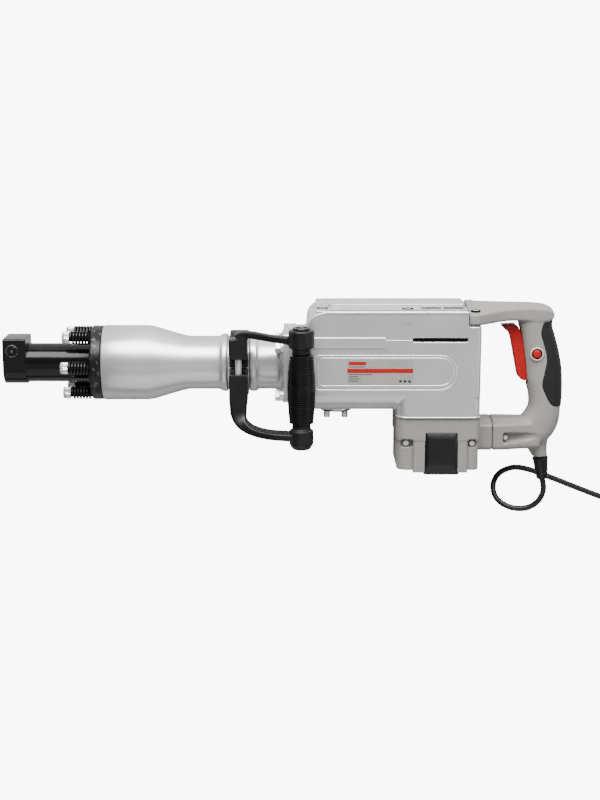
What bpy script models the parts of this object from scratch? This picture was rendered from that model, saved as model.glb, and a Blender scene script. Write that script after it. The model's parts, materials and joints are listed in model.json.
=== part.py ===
"""Electric demolition hammer for a 30 mm hexagon tool, lying on its right side.

Metres, +Z up. The tool runs along X, from the nose at -X to the rear grip at +X. Its top cover
faces +Y and its left side faces up, so the floor is Z = 0. Stations (s) are distances from the
nose face, and y and z are measured from the barrel's axis: at() turns them into scene places.
"""

import math

import bmesh
import bpy
from mathutils import Matrix, Vector

NAME = "demolition_hammer"
GAP = 0.0003
FLAT = 0.0001

# Overall size and the place of the barrel's axis
LENGTH = 0.702
NOSE_X = -LENGTH / 2
AXIS_Y = 0.03764
HALF_WIDTH = 0.057
AXIS_Z = HALF_WIDTH

# Front cover, its six sprung bolts and the retaining pin
HEX_FLATS = 0.0304
BLOCK_END = 0.0285
BLOCK_TOP = 0.033
BLOCK_HALF = 0.0235
TUBE_R = 0.0242
FLANGE_START = 0.110
FLANGE_END = 0.1242
FLANGE_R = 0.0466
SOCKET_END = 0.098
PIN_S = 0.0122
PIN_Y = 0.0183
PIN_R = 0.0067
BOLT_CIRCLE = 0.0405
NOSE_BOLTS = 6
BOLT_HEAD_START = 0.075
BOLT_HEAD_END = 0.084
BOLT_HEAD_R = 0.0073
BOLT_R = 0.0047
BOLT_TIP = 0.150
SPRING_R = 0.00705
SPRING_WIRE_R = 0.0012
SPRING_TURNS = 5.5

# Barrel and what slides in it
BARREL_START = FLANGE_END + GAP
BARREL_FRONT_R = 0.047
BARREL_REAR_R = 0.0335
RING_R = 0.0363
SEAT_START = 0.281
SEAT_END = 0.3075
FLANGE_FACE = 0.3503
BARREL_END = 0.358
SQUARE_HALF = 0.0436
LINER_R = 0.0272
LINER_BORE = 0.024
PISTON_R = 0.0237
PISTON_START = 0.305
PISTON_END = 0.374
CRANK_THROW = 0.012
CRANK_S = 0.463
ROD_LENGTH = 0.101

# Crankcase
CASE_FRONT = 0.379
CASE_REAR = 0.594
CASE_TOP = 0.072
CASE_BOTTOM = -0.060
BELLY_BOTTOM = -0.0542
CASE_WALL = 0.007
CASE_NOTCH_S = 0.5777
CASE_NOTCH_Y = 0.0545
COVER_TOP = 0.0735
BELLY_R = 0.029
BELLY_END = 0.4925
BOLT_UP = 0.025
BOLT_DOWN = -0.036
BOLT_SIDE = 0.034

# Gear train: pinion on the motor, idler, crank gear
FINE_MODULE = 0.00125
COARSE_MODULE = 0.00175
MOTOR_TEETH = 10
IDLER_TEETH = 40
IDLER_PINION_TEETH = 12
CRANK_TEETH = 44
MOTOR_S = CRANK_S + (FINE_MODULE * (MOTOR_TEETH + IDLER_TEETH)
                     + COARSE_MODULE * (IDLER_PINION_TEETH + CRANK_TEETH)) / 2
IDLER_S = CRANK_S + COARSE_MODULE * (IDLER_PINION_TEETH + CRANK_TEETH) / 2

# Motor
MOTOR_BOTTOM = -0.129
MOTOR_HALF = 0.051
MOTOR_FRONT = 0.4925
MOTOR_REAR = 0.593
STATOR_R = 0.042
ARMATURE_R = 0.0235
BRUSH_Y = -0.104

# Rear handle
ARM_TOP = 0.0765
ARM_BOTTOM = 0.0548
ARM_START = 0.578
LOWER_TOP = -0.0748
LOWER_BOTTOM = -0.1065
LOWER_HALF = 0.030
LOWER_SEAM = 0.6125
GRIP_HALF = 0.020
BUTTON_S = 0.6668
BUTTON_Y = 0.014
BUTTON_R = 0.0053

# Side handle, clamped round the barrel's seat
CLAMP_START = 0.2835
CLAMP_END = 0.3067
CLAMP_R = 0.041
SIDE_S = 0.3727
SIDE_Z = 0.082
SIDE_TOP = 0.0548
SIDE_BOTTOM = -0.0927
SIDE_BOLT_R = 0.004

# Supply cord
CORD_R = 0.00375
COIL_R = 0.0425
COIL_HALF_WIDTH = 0.0155
COIL_HEIGHT = 0.0228

COLOURS = {
    "silver_paint": ((0.60, 0.60, 0.60), 0.38, 0.55),
    "black_paint": ((0.018, 0.018, 0.019), 0.42, 0.2),
    "bright_steel": ((0.72, 0.72, 0.72), 0.22, 1.0),
    "gear_steel": ((0.36, 0.36, 0.37), 0.35, 1.0),
    "spring_steel": ((0.02, 0.02, 0.02), 0.35, 0.6),
    "grey_plastic": ((0.29, 0.28, 0.27), 0.5, 0.0),
    "black_plastic": ((0.016, 0.016, 0.016), 0.3, 0.0),
    "rubber": ((0.022, 0.022, 0.022), 0.7, 0.0),
    "red_plastic": ((0.55, 0.018, 0.015), 0.35, 0.0),
    "pale_plastic": ((0.55, 0.54, 0.52), 0.4, 0.0),
    "copper": ((0.60, 0.25, 0.12), 0.4, 0.9),
    "carbon": ((0.03, 0.03, 0.03), 0.8, 0.0),
    "cord_rubber": ((0.015, 0.015, 0.015), 0.55, 0.0),
}

AXES = {
    "X": Matrix.Rotation(math.pi / 2, 4, "Y"),
    "Y": Matrix.Rotation(-math.pi / 2, 4, "X"),
    "Z": Matrix.Identity(4),
}


def at(s, y=0.0, z=0.0):
    """Scene place of a station s and of offsets y and z from the barrel's axis."""
    return Vector((NOSE_X + s, AXIS_Y + y, AXIS_Z + z))


def clear_scene():
    for old in list(bpy.data.objects):
        bpy.data.objects.remove(old, do_unlink=True)


def new_collection(name):
    collection = bpy.data.collections.new(name)
    bpy.context.scene.collection.children.link(collection)
    return collection


def material(name):
    """The named finish, made once."""
    found = bpy.data.materials.get(name)
    if found:
        return found
    colour, roughness, metallic = COLOURS[name]
    made = bpy.data.materials.new(name)
    made.use_nodes = True
    shader = made.node_tree.nodes["Principled BSDF"]
    shader.inputs["Base Color"].default_value = (*colour, 1.0)
    shader.inputs["Roughness"].default_value = roughness
    shader.inputs["Metallic"].default_value = metallic
    return made


def finish(obj, finish_name):
    """File an object with the parts, or with the cutters if it has no finish."""
    if finish_name:
        parts.objects.link(obj)
        obj.data.materials.append(material(finish_name))
    else:
        cutters.objects.link(obj)
        obj.hide_render = True
        obj.display_type = "WIRE"
    return obj


def mesh_object(name, bm, finish_name, place=Matrix.Identity(4), sharp=35):
    mesh = bpy.data.meshes.new(name)
    bm.to_mesh(mesh)
    bm.free()
    mesh.shade_smooth()
    mesh.set_sharp_from_angle(angle=math.radians(sharp))
    obj = bpy.data.objects.new(name, mesh)
    obj.matrix_world = place
    return finish(obj, finish_name)


def box(name, low, high, finish_name=None, bevel=0.0, segments=2):
    """A box between two corners (s, y, z), with its edges rounded by bevel."""
    low = at(*low)
    high = at(*high)
    size = high - low
    bm = bmesh.new()
    bmesh.ops.create_cube(bm, size=1.0, matrix=Matrix.Diagonal((*size, 1.0)))
    obj = mesh_object(name, bm, finish_name, Matrix.Translation((low + high) / 2))
    if bevel:
        edge = obj.modifiers.new("Bevel", "BEVEL")
        edge.width = bevel
        edge.segments = segments
    return obj


def rod(name, centre, axis, radius, start, end, finish_name=None, sides=24):
    """A cylinder along axis: start and end are offsets from centre along it."""
    bm = bmesh.new()
    bmesh.ops.create_cone(bm, cap_ends=True, segments=sides, radius1=radius, radius2=radius,
                          depth=end - start, matrix=Matrix.Translation((0, 0, (start + end) / 2)))
    place = Matrix.Translation(centre) @ AXES[axis]
    return mesh_object(name, bm, finish_name, place)


def turned(name, centre, axis, outer, inner=None, finish_name=None, sides=36):
    """Turn a profile of (height, radius) points round an axis.

    The outer points rise along the axis. With inner points, which rise too, the piece is a
    ring or tube. Without them it is solid and closes on the axis.
    """
    profile = list(reversed(outer))
    if inner:
        profile += list(inner)
    else:
        profile = [(profile[0][0], 0.0)] + profile + [(profile[-1][0], 0.0)]
    points = [profile[0]]
    points += [b for a, b in zip(profile, profile[1:]) if (Vector(a) - Vector(b)).length > 1e-7]
    bm = bmesh.new()
    verts = [bm.verts.new((radius, 0.0, height)) for height, radius in points]
    for first, second in zip(verts, verts[1:]):
        bm.edges.new((first, second))
    if inner:
        bm.edges.new((verts[-1], verts[0]))
    obj = mesh_object(name, bm, finish_name, Matrix.Translation(centre) @ AXES[axis])
    screw = obj.modifiers.new("Screw", "SCREW")
    screw.axis = "Z"
    screw.steps = sides
    screw.render_steps = sides
    screw.use_merge_vertices = True
    screw.merge_threshold = 0.00001
    screw.use_smooth_shade = True
    return obj


def to_mesh(curve_object, finish_name):
    """Replace a curve object by its welded mesh, in the same place."""
    layer = bpy.context.view_layer
    bpy.context.scene.collection.objects.link(curve_object)
    layer.update()
    shape = curve_object.evaluated_get(bpy.context.evaluated_depsgraph_get())
    mesh = bpy.data.meshes.new_from_object(shape)
    place = curve_object.matrix_world.copy()
    name = curve_object.name
    bpy.data.objects.remove(curve_object, do_unlink=True)
    bm = bmesh.new()
    bm.from_mesh(mesh)
    bmesh.ops.remove_doubles(bm, verts=bm.verts, dist=0.00001)
    bmesh.ops.recalc_face_normals(bm, faces=bm.faces)
    bpy.data.meshes.remove(mesh)
    return mesh_object(name, bm, finish_name, place)


def plate(name, outlines, low, high, axis="Z", finish_name=None, bevel=0.0, rounds=2):
    """Extrude closed outlines between two offsets along an axis.

    The outlines hold (s, y) points along Z, (s, z) points along Y and (y, z) points along X,
    as offsets from the barrel's axis. The second and later outlines are holes.
    """
    curve = bpy.data.curves.new(name, "CURVE")
    curve.dimensions = "2D"
    curve.fill_mode = "BOTH"
    curve.extrude = (high - low) / 2 - bevel
    curve.bevel_depth = bevel
    curve.bevel_resolution = rounds
    curve.offset = -bevel
    for outline in outlines:
        spline = curve.splines.new("POLY")
        spline.points.add(len(outline) - 1)
        for point, (u, v) in zip(spline.points, outline):
            point.co = (u, v, 0.0, 1.0)
        spline.use_cyclic_u = True
    middle = (low + high) / 2
    turn = {
        "Z": (Matrix.Identity(4), at(0, 0, middle)),
        "Y": (Matrix.Rotation(math.pi / 2, 4, "X"), at(0, middle, 0)),
        "X": (Matrix.Rotation(math.pi / 2, 4, "Z") @ Matrix.Rotation(math.pi / 2, 4, "X"),
              at(middle, 0, 0)),
    }[axis]
    obj = bpy.data.objects.new(name, curve)
    obj.matrix_world = Matrix.Translation(turn[1]) @ turn[0]
    return to_mesh(obj, finish_name)


def rounded(corners, steps=5):
    """Closed outline through (u, v, radius) corners, each one turned as an arc."""
    points = []
    for index, (u, v, radius) in enumerate(corners):
        corner = Vector((u, v))
        if not radius:
            points.append(corner)
            continue
        before = (Vector(corners[index - 1][:2]) - corner).normalized()
        after = (Vector(corners[(index + 1) % len(corners)][:2]) - corner).normalized()
        half = before.angle(after) / 2
        centre = corner + (before + after).normalized() * (radius / math.sin(half))
        first = corner + before * (radius / math.tan(half)) - centre
        last = corner + after * (radius / math.tan(half)) - centre
        sweep = math.atan2(first.cross(last), first.dot(last))
        for step in range(steps + 1):
            turn = Matrix.Rotation(sweep * step / steps, 2)
            points.append(centre + turn @ first)
    return points


def smooth_path(points, per_span):
    """Points along a Catmull-Rom curve through the given points, ends included."""
    knots = [Vector(p) for p in points]
    knots = [2 * knots[0] - knots[1]] + knots + [2 * knots[-1] - knots[-2]]
    path = []
    for a, b, c, d in zip(knots, knots[1:], knots[2:], knots[3:]):
        for step in range(per_span):
            t = step / per_span
            path.append(0.5 * (2 * b + (c - a) * t + (2 * a - 5 * b + 4 * c - d) * t * t
                               + (3 * b - a - 3 * c + d) * t ** 3))
    return path + [knots[-2]]


def loft(name, sections, finish_name=None):
    """Join rings of scene points, each with the same count, and cap both ends."""
    bm = bmesh.new()
    rings = [[bm.verts.new(p) for p in section] for section in sections]
    count = len(rings[0])
    for ring, following in zip(rings, rings[1:]):
        for i in range(count):
            j = (i + 1) % count
            bm.faces.new((ring[i], ring[j], following[j], following[i]))
    bm.faces.new(reversed(rings[0]))
    bm.faces.new(rings[-1])
    bmesh.ops.recalc_face_normals(bm, faces=bm.faces)
    return mesh_object(name, bm, finish_name)


def boolean(obj, other, operation):
    step = obj.modifiers.new(operation.title(), "BOOLEAN")
    step.operation = operation
    step.solver = "EXACT"
    step.object = other


def cut(obj, *tools):
    for tool in tools:
        boolean(obj, tool, "DIFFERENCE")
    return obj


def fuse(obj, *others):
    for other in others:
        boolean(obj, other, "UNION")
    return obj


def weld(obj):
    """Close the hairline edges that several Booleans in a row can leave."""
    step = obj.modifiers.new("Weld", "WELD")
    step.merge_threshold = 0.00002


def ring_of(count, radius, start=0.0):
    """(y, z) offsets of count places on a circle round the barrel's axis."""
    angles = [start + 2 * math.pi * i / count for i in range(count)]
    return [(radius * math.sin(a), radius * math.cos(a)) for a in angles]


# Front end

def front_cover():
    """Tool holder: hexagon socket, cross bore for the pin, and the flange on the springs."""
    block = rounded([(BLOCK_TOP, -BLOCK_HALF, 0.002), (BLOCK_TOP, BLOCK_HALF, 0.002),
                     (-TUBE_R, BLOCK_HALF, 0.0225), (-TUBE_R, -BLOCK_HALF, 0.0225)])
    cover = plate("front_cover", [block], 0.0, BLOCK_END, "X", "black_paint", 0.0012, 1)
    tube_start = BLOCK_END - 0.002
    tube = turned("tool_tube", at(0), "X",
                  [(tube_start, TUBE_R - FLAT), (FLANGE_START, TUBE_R - FLAT),
                   (FLANGE_START, FLANGE_R - 0.002), (FLANGE_START + 0.002, FLANGE_R),
                   (FLANGE_END, FLANGE_R)],
                  [(tube_start, 0.0135), (FLANGE_END, 0.0135)], sides=36)
    corner = HEX_FLATS / math.sqrt(3)
    hexagon = [(corner * math.sin(a), corner * math.cos(a))
               for a in (math.pi / 3 * i for i in range(6))]
    socket = plate("socket_cut", [hexagon], -0.002, SOCKET_END, "X")
    pin_bore = rod("pin_bore_cut", at(PIN_S, PIN_Y), "Z", PIN_R + GAP, -0.03, 0.03)
    fuse(cover, tube)
    cut(cover, socket, pin_bore)
    for y, z in ring_of(NOSE_BOLTS, BOLT_CIRCLE):
        cut(cover, rod("bolt_hole_cut", at(FLANGE_START, y, z), "X", BOLT_R + GAP, -0.004, 0.022,
                       sides=12))


def retaining_pin():
    """Cross pin: turning its flat to the socket frees the tool."""
    pin = rod("retaining_pin", at(PIN_S, PIN_Y), "Z", PIN_R, -BLOCK_HALF - 0.0005,
              BLOCK_HALF + 0.0005, "bright_steel", sides=20)
    flat_y = HEX_FLATS / 2 - PIN_Y
    notch = box("pin_flat_cut", (PIN_S - 0.01, PIN_Y - flat_y, -0.013),
                (PIN_S + 0.01, PIN_Y + 0.01, 0.013))
    cut(pin, notch)


def nose_bolts():
    profile = [(BOLT_HEAD_START + 0.005, 0.0), (BOLT_HEAD_START + 0.005, 0.0036),
               (BOLT_HEAD_START, 0.0036), (BOLT_HEAD_START, BOLT_HEAD_R - 0.0008),
               (BOLT_HEAD_START + 0.0008, BOLT_HEAD_R), (BOLT_HEAD_END, BOLT_HEAD_R),
               (BOLT_HEAD_END, BOLT_R), (BOLT_TIP, BOLT_R)]
    for number, (y, z) in enumerate(ring_of(NOSE_BOLTS, BOLT_CIRCLE), 1):
        turned("nose_bolt_%d" % number, at(0, y, z), "X", profile,
               finish_name="bright_steel", sides=12)


def nose_springs():
    """Six compression springs between the bolt heads and the flange."""
    start = BOLT_HEAD_END + GAP + SPRING_WIRE_R
    end = FLANGE_START - GAP - SPRING_WIRE_R
    points_per_turn = 8
    count = int(SPRING_TURNS * points_per_turn)
    for number, (y, z) in enumerate(ring_of(NOSE_BOLTS, BOLT_CIRCLE), 1):
        curve = bpy.data.curves.new("nose_spring", "CURVE")
        curve.dimensions = "3D"
        curve.bevel_depth = SPRING_WIRE_R
        curve.bevel_resolution = 0
        curve.use_fill_caps = True
        spline = curve.splines.new("POLY")
        spline.points.add(count)
        for i, point in enumerate(spline.points):
            angle = 2 * math.pi * i / points_per_turn
            point.co = (start + (end - start) * i / count, SPRING_R * math.sin(angle),
                        SPRING_R * math.cos(angle), 1.0)
        spring = bpy.data.objects.new("nose_spring_%d" % number, curve)
        spring.location = at(0, y, z)
        finish(spring, "spring_steel")


def barrel():
    """Cast housing: wide nose, cone, clamp seat between two rings and a square rear flange."""
    outer = [(BARREL_START, 0.0462), (BARREL_START + 0.0010, BARREL_FRONT_R),
             (0.183, BARREL_FRONT_R), (0.188, 0.0462), (0.227, 0.0340), (0.232, BARREL_REAR_R),
             (0.272, BARREL_REAR_R), (0.2745, RING_R), (SEAT_START - 0.001, RING_R),
             (SEAT_START, 0.0338), (SEAT_END, 0.0338), (SEAT_END + 0.001, RING_R),
             (0.3165, RING_R), (0.3190, 0.0334), (0.338, 0.0334), (0.345, 0.0352),
             (0.350, 0.0405), (BARREL_END, 0.0405)]
    inner = [(BARREL_START, 0.033), (0.150, 0.033), (0.150, 0.020), (0.196, 0.020),
             (0.196, LINER_R + GAP), (BARREL_END, LINER_R + GAP)]
    body = turned("barrel", at(0), "X", outer, inner, "silver_paint", sides=36)
    square = rounded([(-SQUARE_HALF, -SQUARE_HALF, 0.006), (SQUARE_HALF, -SQUARE_HALF, 0.006),
                      (SQUARE_HALF, SQUARE_HALF, 0.006), (-SQUARE_HALF, SQUARE_HALF, 0.006)], 3)
    middle = ring_of(12, 0.0345)
    fuse(body, plate("barrel_flange", [square, middle], FLANGE_FACE, BARREL_END - FLAT, "X"))
    for y, z in ring_of(NOSE_BOLTS, BOLT_CIRCLE):
        cut(body, rod("thread_cut", at(0, y, z), "X", BOLT_R + GAP, BARREL_START - 0.002,
                      BOLT_TIP + 0.002, sides=12))
    for y, z in flange_bolt_places():
        cut(body, turned("flange_hole_cut", at(0, y, z), "X",
                         [(0.336, 0.0080), (FLANGE_FACE + GAP, 0.0080),
                          (FLANGE_FACE + GAP, 0.0043), (0.362, 0.0043)], sides=14))
    weld(body)


def flange_bolt_places():
    return [(y, z) for y in (BOLT_UP, BOLT_DOWN) for z in (BOLT_SIDE, -BOLT_SIDE)]


def barrel_bolts():
    profile = [(0.338, 0.0058), (0.3385, 0.0063), (0.345, 0.0063), (0.3453, 0.0075),
               (FLANGE_FACE, 0.0075), (FLANGE_FACE, 0.004), (0.376, 0.004)]
    for number, (y, z) in enumerate(flange_bolt_places(), 1):
        turned("barrel_bolt_%d" % number, at(0, y, z), "X", profile,
               finish_name="bright_steel", sides=12)


def striking_train():
    """Liner, impact bolt, striker, piston and connecting rod, front to rear."""
    turned("cylinder_liner", at(0), "X", [(0.198, LINER_R), (0.384, LINER_R)],
           [(0.198, LINER_BORE), (0.384, LINER_BORE)], "gear_steel", 32)
    turned("impact_bolt", at(0), "X",
           [(0.100, 0.0105), (0.102, 0.0125), (0.153, 0.0125), (0.153, 0.0185),
            (0.155, 0.0195), (0.184, 0.0195), (0.186, 0.0175)], finish_name="gear_steel", sides=24)
    turned("striker", at(0), "X",
           [(0.226, 0.0215), (0.228, PISTON_R), (0.250, PISTON_R), (0.250, 0.0222),
            (0.254, 0.0222), (0.254, PISTON_R), (0.266, PISTON_R), (0.268, 0.0222)],
           finish_name="gear_steel", sides=24)
    crown = 0.010
    turned("piston", at(0), "X",
           [(PISTON_START, 0.0225), (PISTON_START + 0.001, PISTON_R), (0.311, PISTON_R),
            (0.311, 0.0222), (0.314, 0.0222), (0.314, PISTON_R), (PISTON_END, PISTON_R),
            (PISTON_END, 0.0212), (PISTON_START + crown, 0.0212), (PISTON_START + crown, 0.0)],
           finish_name="gear_steel", sides=24)
    small_s = CRANK_S - CRANK_THROW - ROD_LENGTH
    big_s = CRANK_S - CRANK_THROW
    shank = box("connecting_rod", (small_s, -0.004, -0.0055), (big_s, 0.004, 0.0055),
                "gear_steel", 0.001, 1)
    small_eye = rod("small_eye", at(small_s), "Y", 0.0072, -0.0075, 0.0075)
    big_eye = rod("big_eye", at(big_s), "Y", 0.014, -0.008, 0.008)
    fuse(shank, small_eye, big_eye)
    cut(shank, rod("small_eye_cut", at(small_s), "Y", 0.0045 + GAP, -0.01, 0.01),
        rod("big_eye_cut", at(big_s), "Y", 0.0070 + GAP, -0.01, 0.01))
    rod("piston_pin", at(small_s), "Y", 0.0045, -0.0115, 0.0115, "bright_steel", 16)


# Crankcase and gear train

def crankcase():
    """Cast case: front flange and neck, gear space open at the top, motor space below."""
    side = rounded([(CASE_FRONT, CASE_BOTTOM, 0.012), (CASE_REAR, CASE_BOTTOM, 0.003),
                    (CASE_REAR, CASE_NOTCH_Y, 0.0), (CASE_NOTCH_S, CASE_NOTCH_Y, 0.0),
                    (CASE_NOTCH_S, CASE_TOP, 0.0), (CASE_FRONT, CASE_TOP, 0.022)])
    case = plate("crankcase", [side], -HALF_WIDTH, HALF_WIDTH, "Z", "silver_paint", 0.003, 1)
    square = rounded([(-SQUARE_HALF, -SQUARE_HALF, 0.006), (SQUARE_HALF, -SQUARE_HALF, 0.006),
                      (SQUARE_HALF, SQUARE_HALF, 0.006), (-SQUARE_HALF, SQUARE_HALF, 0.006)], 3)
    flange = plate("case_flange", [square], BARREL_END + GAP, 0.366, "X")
    neck = box("case_neck", (0.364, -0.042, -0.042), (CASE_FRONT + 0.002, 0.042, 0.042))
    fuse(case, flange, neck)
    for side_sign in (1, -1):
        cut(case, belly_cutter(side_sign))
    inner_half = HALF_WIDTH - CASE_WALL
    gear_floor = -0.014
    cut(case,
        box("gear_space_cut", (0.385, gear_floor, -inner_half), (0.587, 0.08, inner_half)),
        box("sump_cut", (0.386, -0.046, -0.040), (0.486, gear_floor + 0.001, 0.040)),
        box("motor_space_cut", (0.499, -0.07, -inner_half), (0.587, -0.026, inner_half)),
        rod("case_bore_cut", at(0), "X", LINER_R + GAP, 0.355, 0.39, sides=32),
        rod("armature_bore_cut", at(MOTOR_S), "Y", 0.0133, -0.03, -0.012),
        rod("idler_pocket_cut", at(IDLER_S), "Y", 0.0063, -0.020, -0.012, sides=16))
    for y, z in flange_bolt_places():
        cut(case, rod("case_thread_cut", at(0, y, z), "X", 0.0043, 0.355, 0.378, sides=12))


def belly_cutter(side_sign):
    """What is removed to raise and round the underside of the case's front half."""
    edge = HALF_WIDTH + 0.002
    corner_y = BELLY_BOTTOM + BELLY_R
    corner_z = HALF_WIDTH - BELLY_R
    steps = 8
    arc = []
    for step in range(steps + 1):
        angle = math.pi / 2 * step / steps
        arc.append((corner_y - BELLY_R * math.sin(angle),
                    side_sign * (corner_z + BELLY_R * math.cos(angle))))
    outline = [(corner_y, side_sign * edge)] + arc
    outline += [(BELLY_BOTTOM, -side_sign * 0.001), (CASE_BOTTOM - 0.002, -side_sign * 0.001),
                (CASE_BOTTOM - 0.002, side_sign * edge)]
    return plate("belly_cut", [outline], CASE_FRONT - 0.004, BELLY_END, "X")


def case_covers():
    """Top lid over the gear space, with the grease cover under the sump."""
    lid = plate("top_cover",
                [rounded([(0.3905, 0.0723, 0.0), (CASE_NOTCH_S - GAP, 0.0723, 0.0),
                          (CASE_NOTCH_S - GAP, COVER_TOP, 0.0), (0.3925, COVER_TOP, 0.0)])],
                -0.052, 0.052, "Z", "silver_paint")
    spigot = box("lid_spigot", (0.392, 0.066, -0.0495), (0.577, 0.0728, 0.0495))
    fuse(lid, spigot)
    turned("grease_cover", at(0.4163), "Y",
           [(-0.0706, 0.0130), (-0.0608, 0.0130), (-0.0608, 0.0185), (-0.0595, 0.0199),
            (BELLY_BOTTOM - GAP, 0.0199)],
           finish_name="silver_paint", sides=28)


def gear_outline(teeth, module, centre_s, half_turn):
    """Straight-flanked teeth on a circle: half_turn puts a space where a tooth would be."""
    pitch = 2 * math.pi / teeth
    radius = teeth * module / 2
    root = radius - 1.15 * module
    tip = radius + 0.85 * module
    shape = [(root, -0.30), (tip, -0.11), (tip, 0.11), (root, 0.30)]
    start = pitch / 2 if half_turn else 0.0
    points = []
    for tooth in range(teeth):
        for reach, part in shape:
            angle = start + pitch * (tooth + part)
            points.append((centre_s + reach * math.cos(angle), reach * math.sin(angle)))
    return points


def crank_train():
    """Crankshaft hanging from its bearing, with the crank gear, idler and bearing plate."""
    shaft = turned("crankshaft", at(CRANK_S), "Y",
                   [(0.0085, 0.029), (0.0185, 0.029), (0.0185, 0.0097), (0.060, 0.0097)],
                   finish_name="gear_steel", sides=32)
    fuse(shaft, rod("crank_pin", at(CRANK_S - CRANK_THROW), "Y", 0.0070, -0.0095, 0.010))
    gear = plate("crank_gear", [gear_outline(CRANK_TEETH, COARSE_MODULE, CRANK_S, True)],
                 0.022, 0.032, "Y", "gear_steel")
    cut(gear, rod("crank_gear_cut", at(CRANK_S), "Y", 0.0097 + GAP, 0.02, 0.034))
    turned("crank_bearing", at(CRANK_S), "Y", [(0.0475, 0.018), (0.0565, 0.018)],
           [(0.0475, 0.010), (0.0565, 0.010)], "bright_steel", 24)
    plank = box("bearing_plate", (0.430, 0.047, -0.0497), (0.576, 0.057, 0.0497),
                "gear_steel", 0.001, 1)
    cut(plank, rod("crank_seat_cut", at(CRANK_S), "Y", 0.0183, 0.045, 0.059),
        rod("idler_seat_cut", at(IDLER_S), "Y", 0.0063, 0.045, 0.059, sides=16))
    idler = rod("idler_shaft", at(IDLER_S), "Y", 0.006, -0.0195, 0.056, "gear_steel", 16)
    small = plate("idler_pinion",
                  [gear_outline(IDLER_PINION_TEETH, COARSE_MODULE, IDLER_S, False)],
                  0.0222, 0.0318, "Y")
    fuse(idler, small)
    big = plate("idler_gear", [gear_outline(IDLER_TEETH, FINE_MODULE, IDLER_S, True)],
                0.0355, 0.0440, "Y", "gear_steel")
    cut(big, rod("idler_gear_cut", at(IDLER_S), "Y", 0.006 + GAP, 0.03, 0.05, sides=16))


# Motor

def motor():
    centre = at(MOTOR_S)
    profile = [(-0.124, 0.0045), (-0.112, 0.0045), (-0.112, 0.015), (-0.096, 0.015),
               (-0.096, 0.008), (-0.088, 0.008), (-0.088, ARMATURE_R), (-0.042, ARMATURE_R),
               (-0.042, 0.0052), (0.036, 0.0052)]
    armature = turned("armature", centre, "Y", profile, finish_name="copper", sides=28)
    pinion = plate("motor_pinion", [gear_outline(MOTOR_TEETH, FINE_MODULE, MOTOR_S, False)],
                   0.0355, 0.0450, "Y")
    fuse(armature, pinion)
    turned("stator", centre, "Y", [(-0.090, STATOR_R), (-0.040, STATOR_R)],
           [(-0.090, ARMATURE_R + 0.001), (-0.040, ARMATURE_R + 0.001)], "gear_steel", 36)
    turned("armature_bearing", centre, "Y", [(-0.0245, 0.013), (-0.0155, 0.013)],
           [(-0.0245, 0.0055), (-0.0155, 0.0055)], "bright_steel", 24)
    fan = turned("fan", centre, "Y", [(-0.0310, 0.037), (-0.0285, 0.037)],
                 [(-0.0310, 0.0055), (-0.0285, 0.0055)], "black_plastic", 36)
    blades = 9
    for index in range(blades):
        blade = box("fan_blade", (MOTOR_S + 0.012, -0.0375, -0.0008),
                    (MOTOR_S + 0.036, -0.0300, 0.0008))
        spin = Matrix.Rotation(2 * math.pi * index / blades, 4, "Y")
        blade.matrix_world = (Matrix.Translation(centre) @ spin @ Matrix.Translation(-centre)
                              @ blade.matrix_world)
        fuse(fan, blade)
    for name, side in (("left", 1), ("right", -1)):
        reach = sorted((side * 0.0154, side * 0.037))
        box("carbon_brush_" + name, (MOTOR_S - 0.0032, BRUSH_Y - 0.005, reach[0]),
            (MOTOR_S + 0.0032, BRUSH_Y + 0.005, reach[1]), "carbon")


def motor_housing():
    """Plastic bell under the case, with a short arm that carries the rear handle."""
    low = (MOTOR_FRONT, MOTOR_BOTTOM, -MOTOR_HALF)
    high = (MOTOR_REAR, CASE_BOTTOM - GAP, MOTOR_HALF)
    housing = box("motor_housing", low, high, "grey_plastic", 0.004, 2)
    arm = box("motor_arm", (MOTOR_REAR - 0.003, LOWER_BOTTOM, -LOWER_HALF),
              (LOWER_SEAM, LOWER_TOP, LOWER_HALF))
    fuse(housing, arm)
    cut(housing,
        box("bell_cut", (0.499, -0.1255, -0.0470), (0.587, -0.055, 0.0470)),
        box("arm_cut", (0.580, LOWER_BOTTOM + 0.004, -0.026),
            (LOWER_SEAM + 0.002, LOWER_TOP - 0.004, 0.026)))
    notch_reach = 0.0405
    for side in (1, -1):
        z_range = sorted((side * notch_reach, side * 0.06))
        for start, end in ((MOTOR_FRONT - 0.002, 0.4975), (0.5885, MOTOR_REAR + 0.002)):
            cut(housing, box("corner_cut", (start, -0.14, z_range[0]), (end, -0.090, z_range[1])))
        window = sorted((side * 0.045, side * 0.055))
        cut(housing, box("brush_window_cut", (MOTOR_S - 0.006, BRUSH_Y - 0.007, window[0]),
                         (MOTOR_S + 0.006, BRUSH_Y + 0.007, window[1])))


def brush_covers():
    """Pyramid-faced lids over the brushes, one on each side."""
    low_s, high_s, low_y, high_y = 0.5238, 0.5658, -0.1292, -0.0770
    slope = 0.0075
    for name, side in (("left", 1), ("right", -1)):
        base = side * (MOTOR_HALF + GAP)
        shoulder = side * (MOTOR_HALF + 0.0020)
        face = side * HALF_WIDTH
        sections = []
        for z, inset in ((base, 0.0), (shoulder, 0.0), (face, slope)):
            sections.append([at(low_s + inset, low_y + inset, z),
                             at(high_s - inset, low_y + inset, z),
                             at(high_s - inset, high_y - inset, z),
                             at(low_s + inset, high_y - inset, z)])
        loft("brush_cover_" + name, sections, "black_plastic")


# Rear handle

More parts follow.
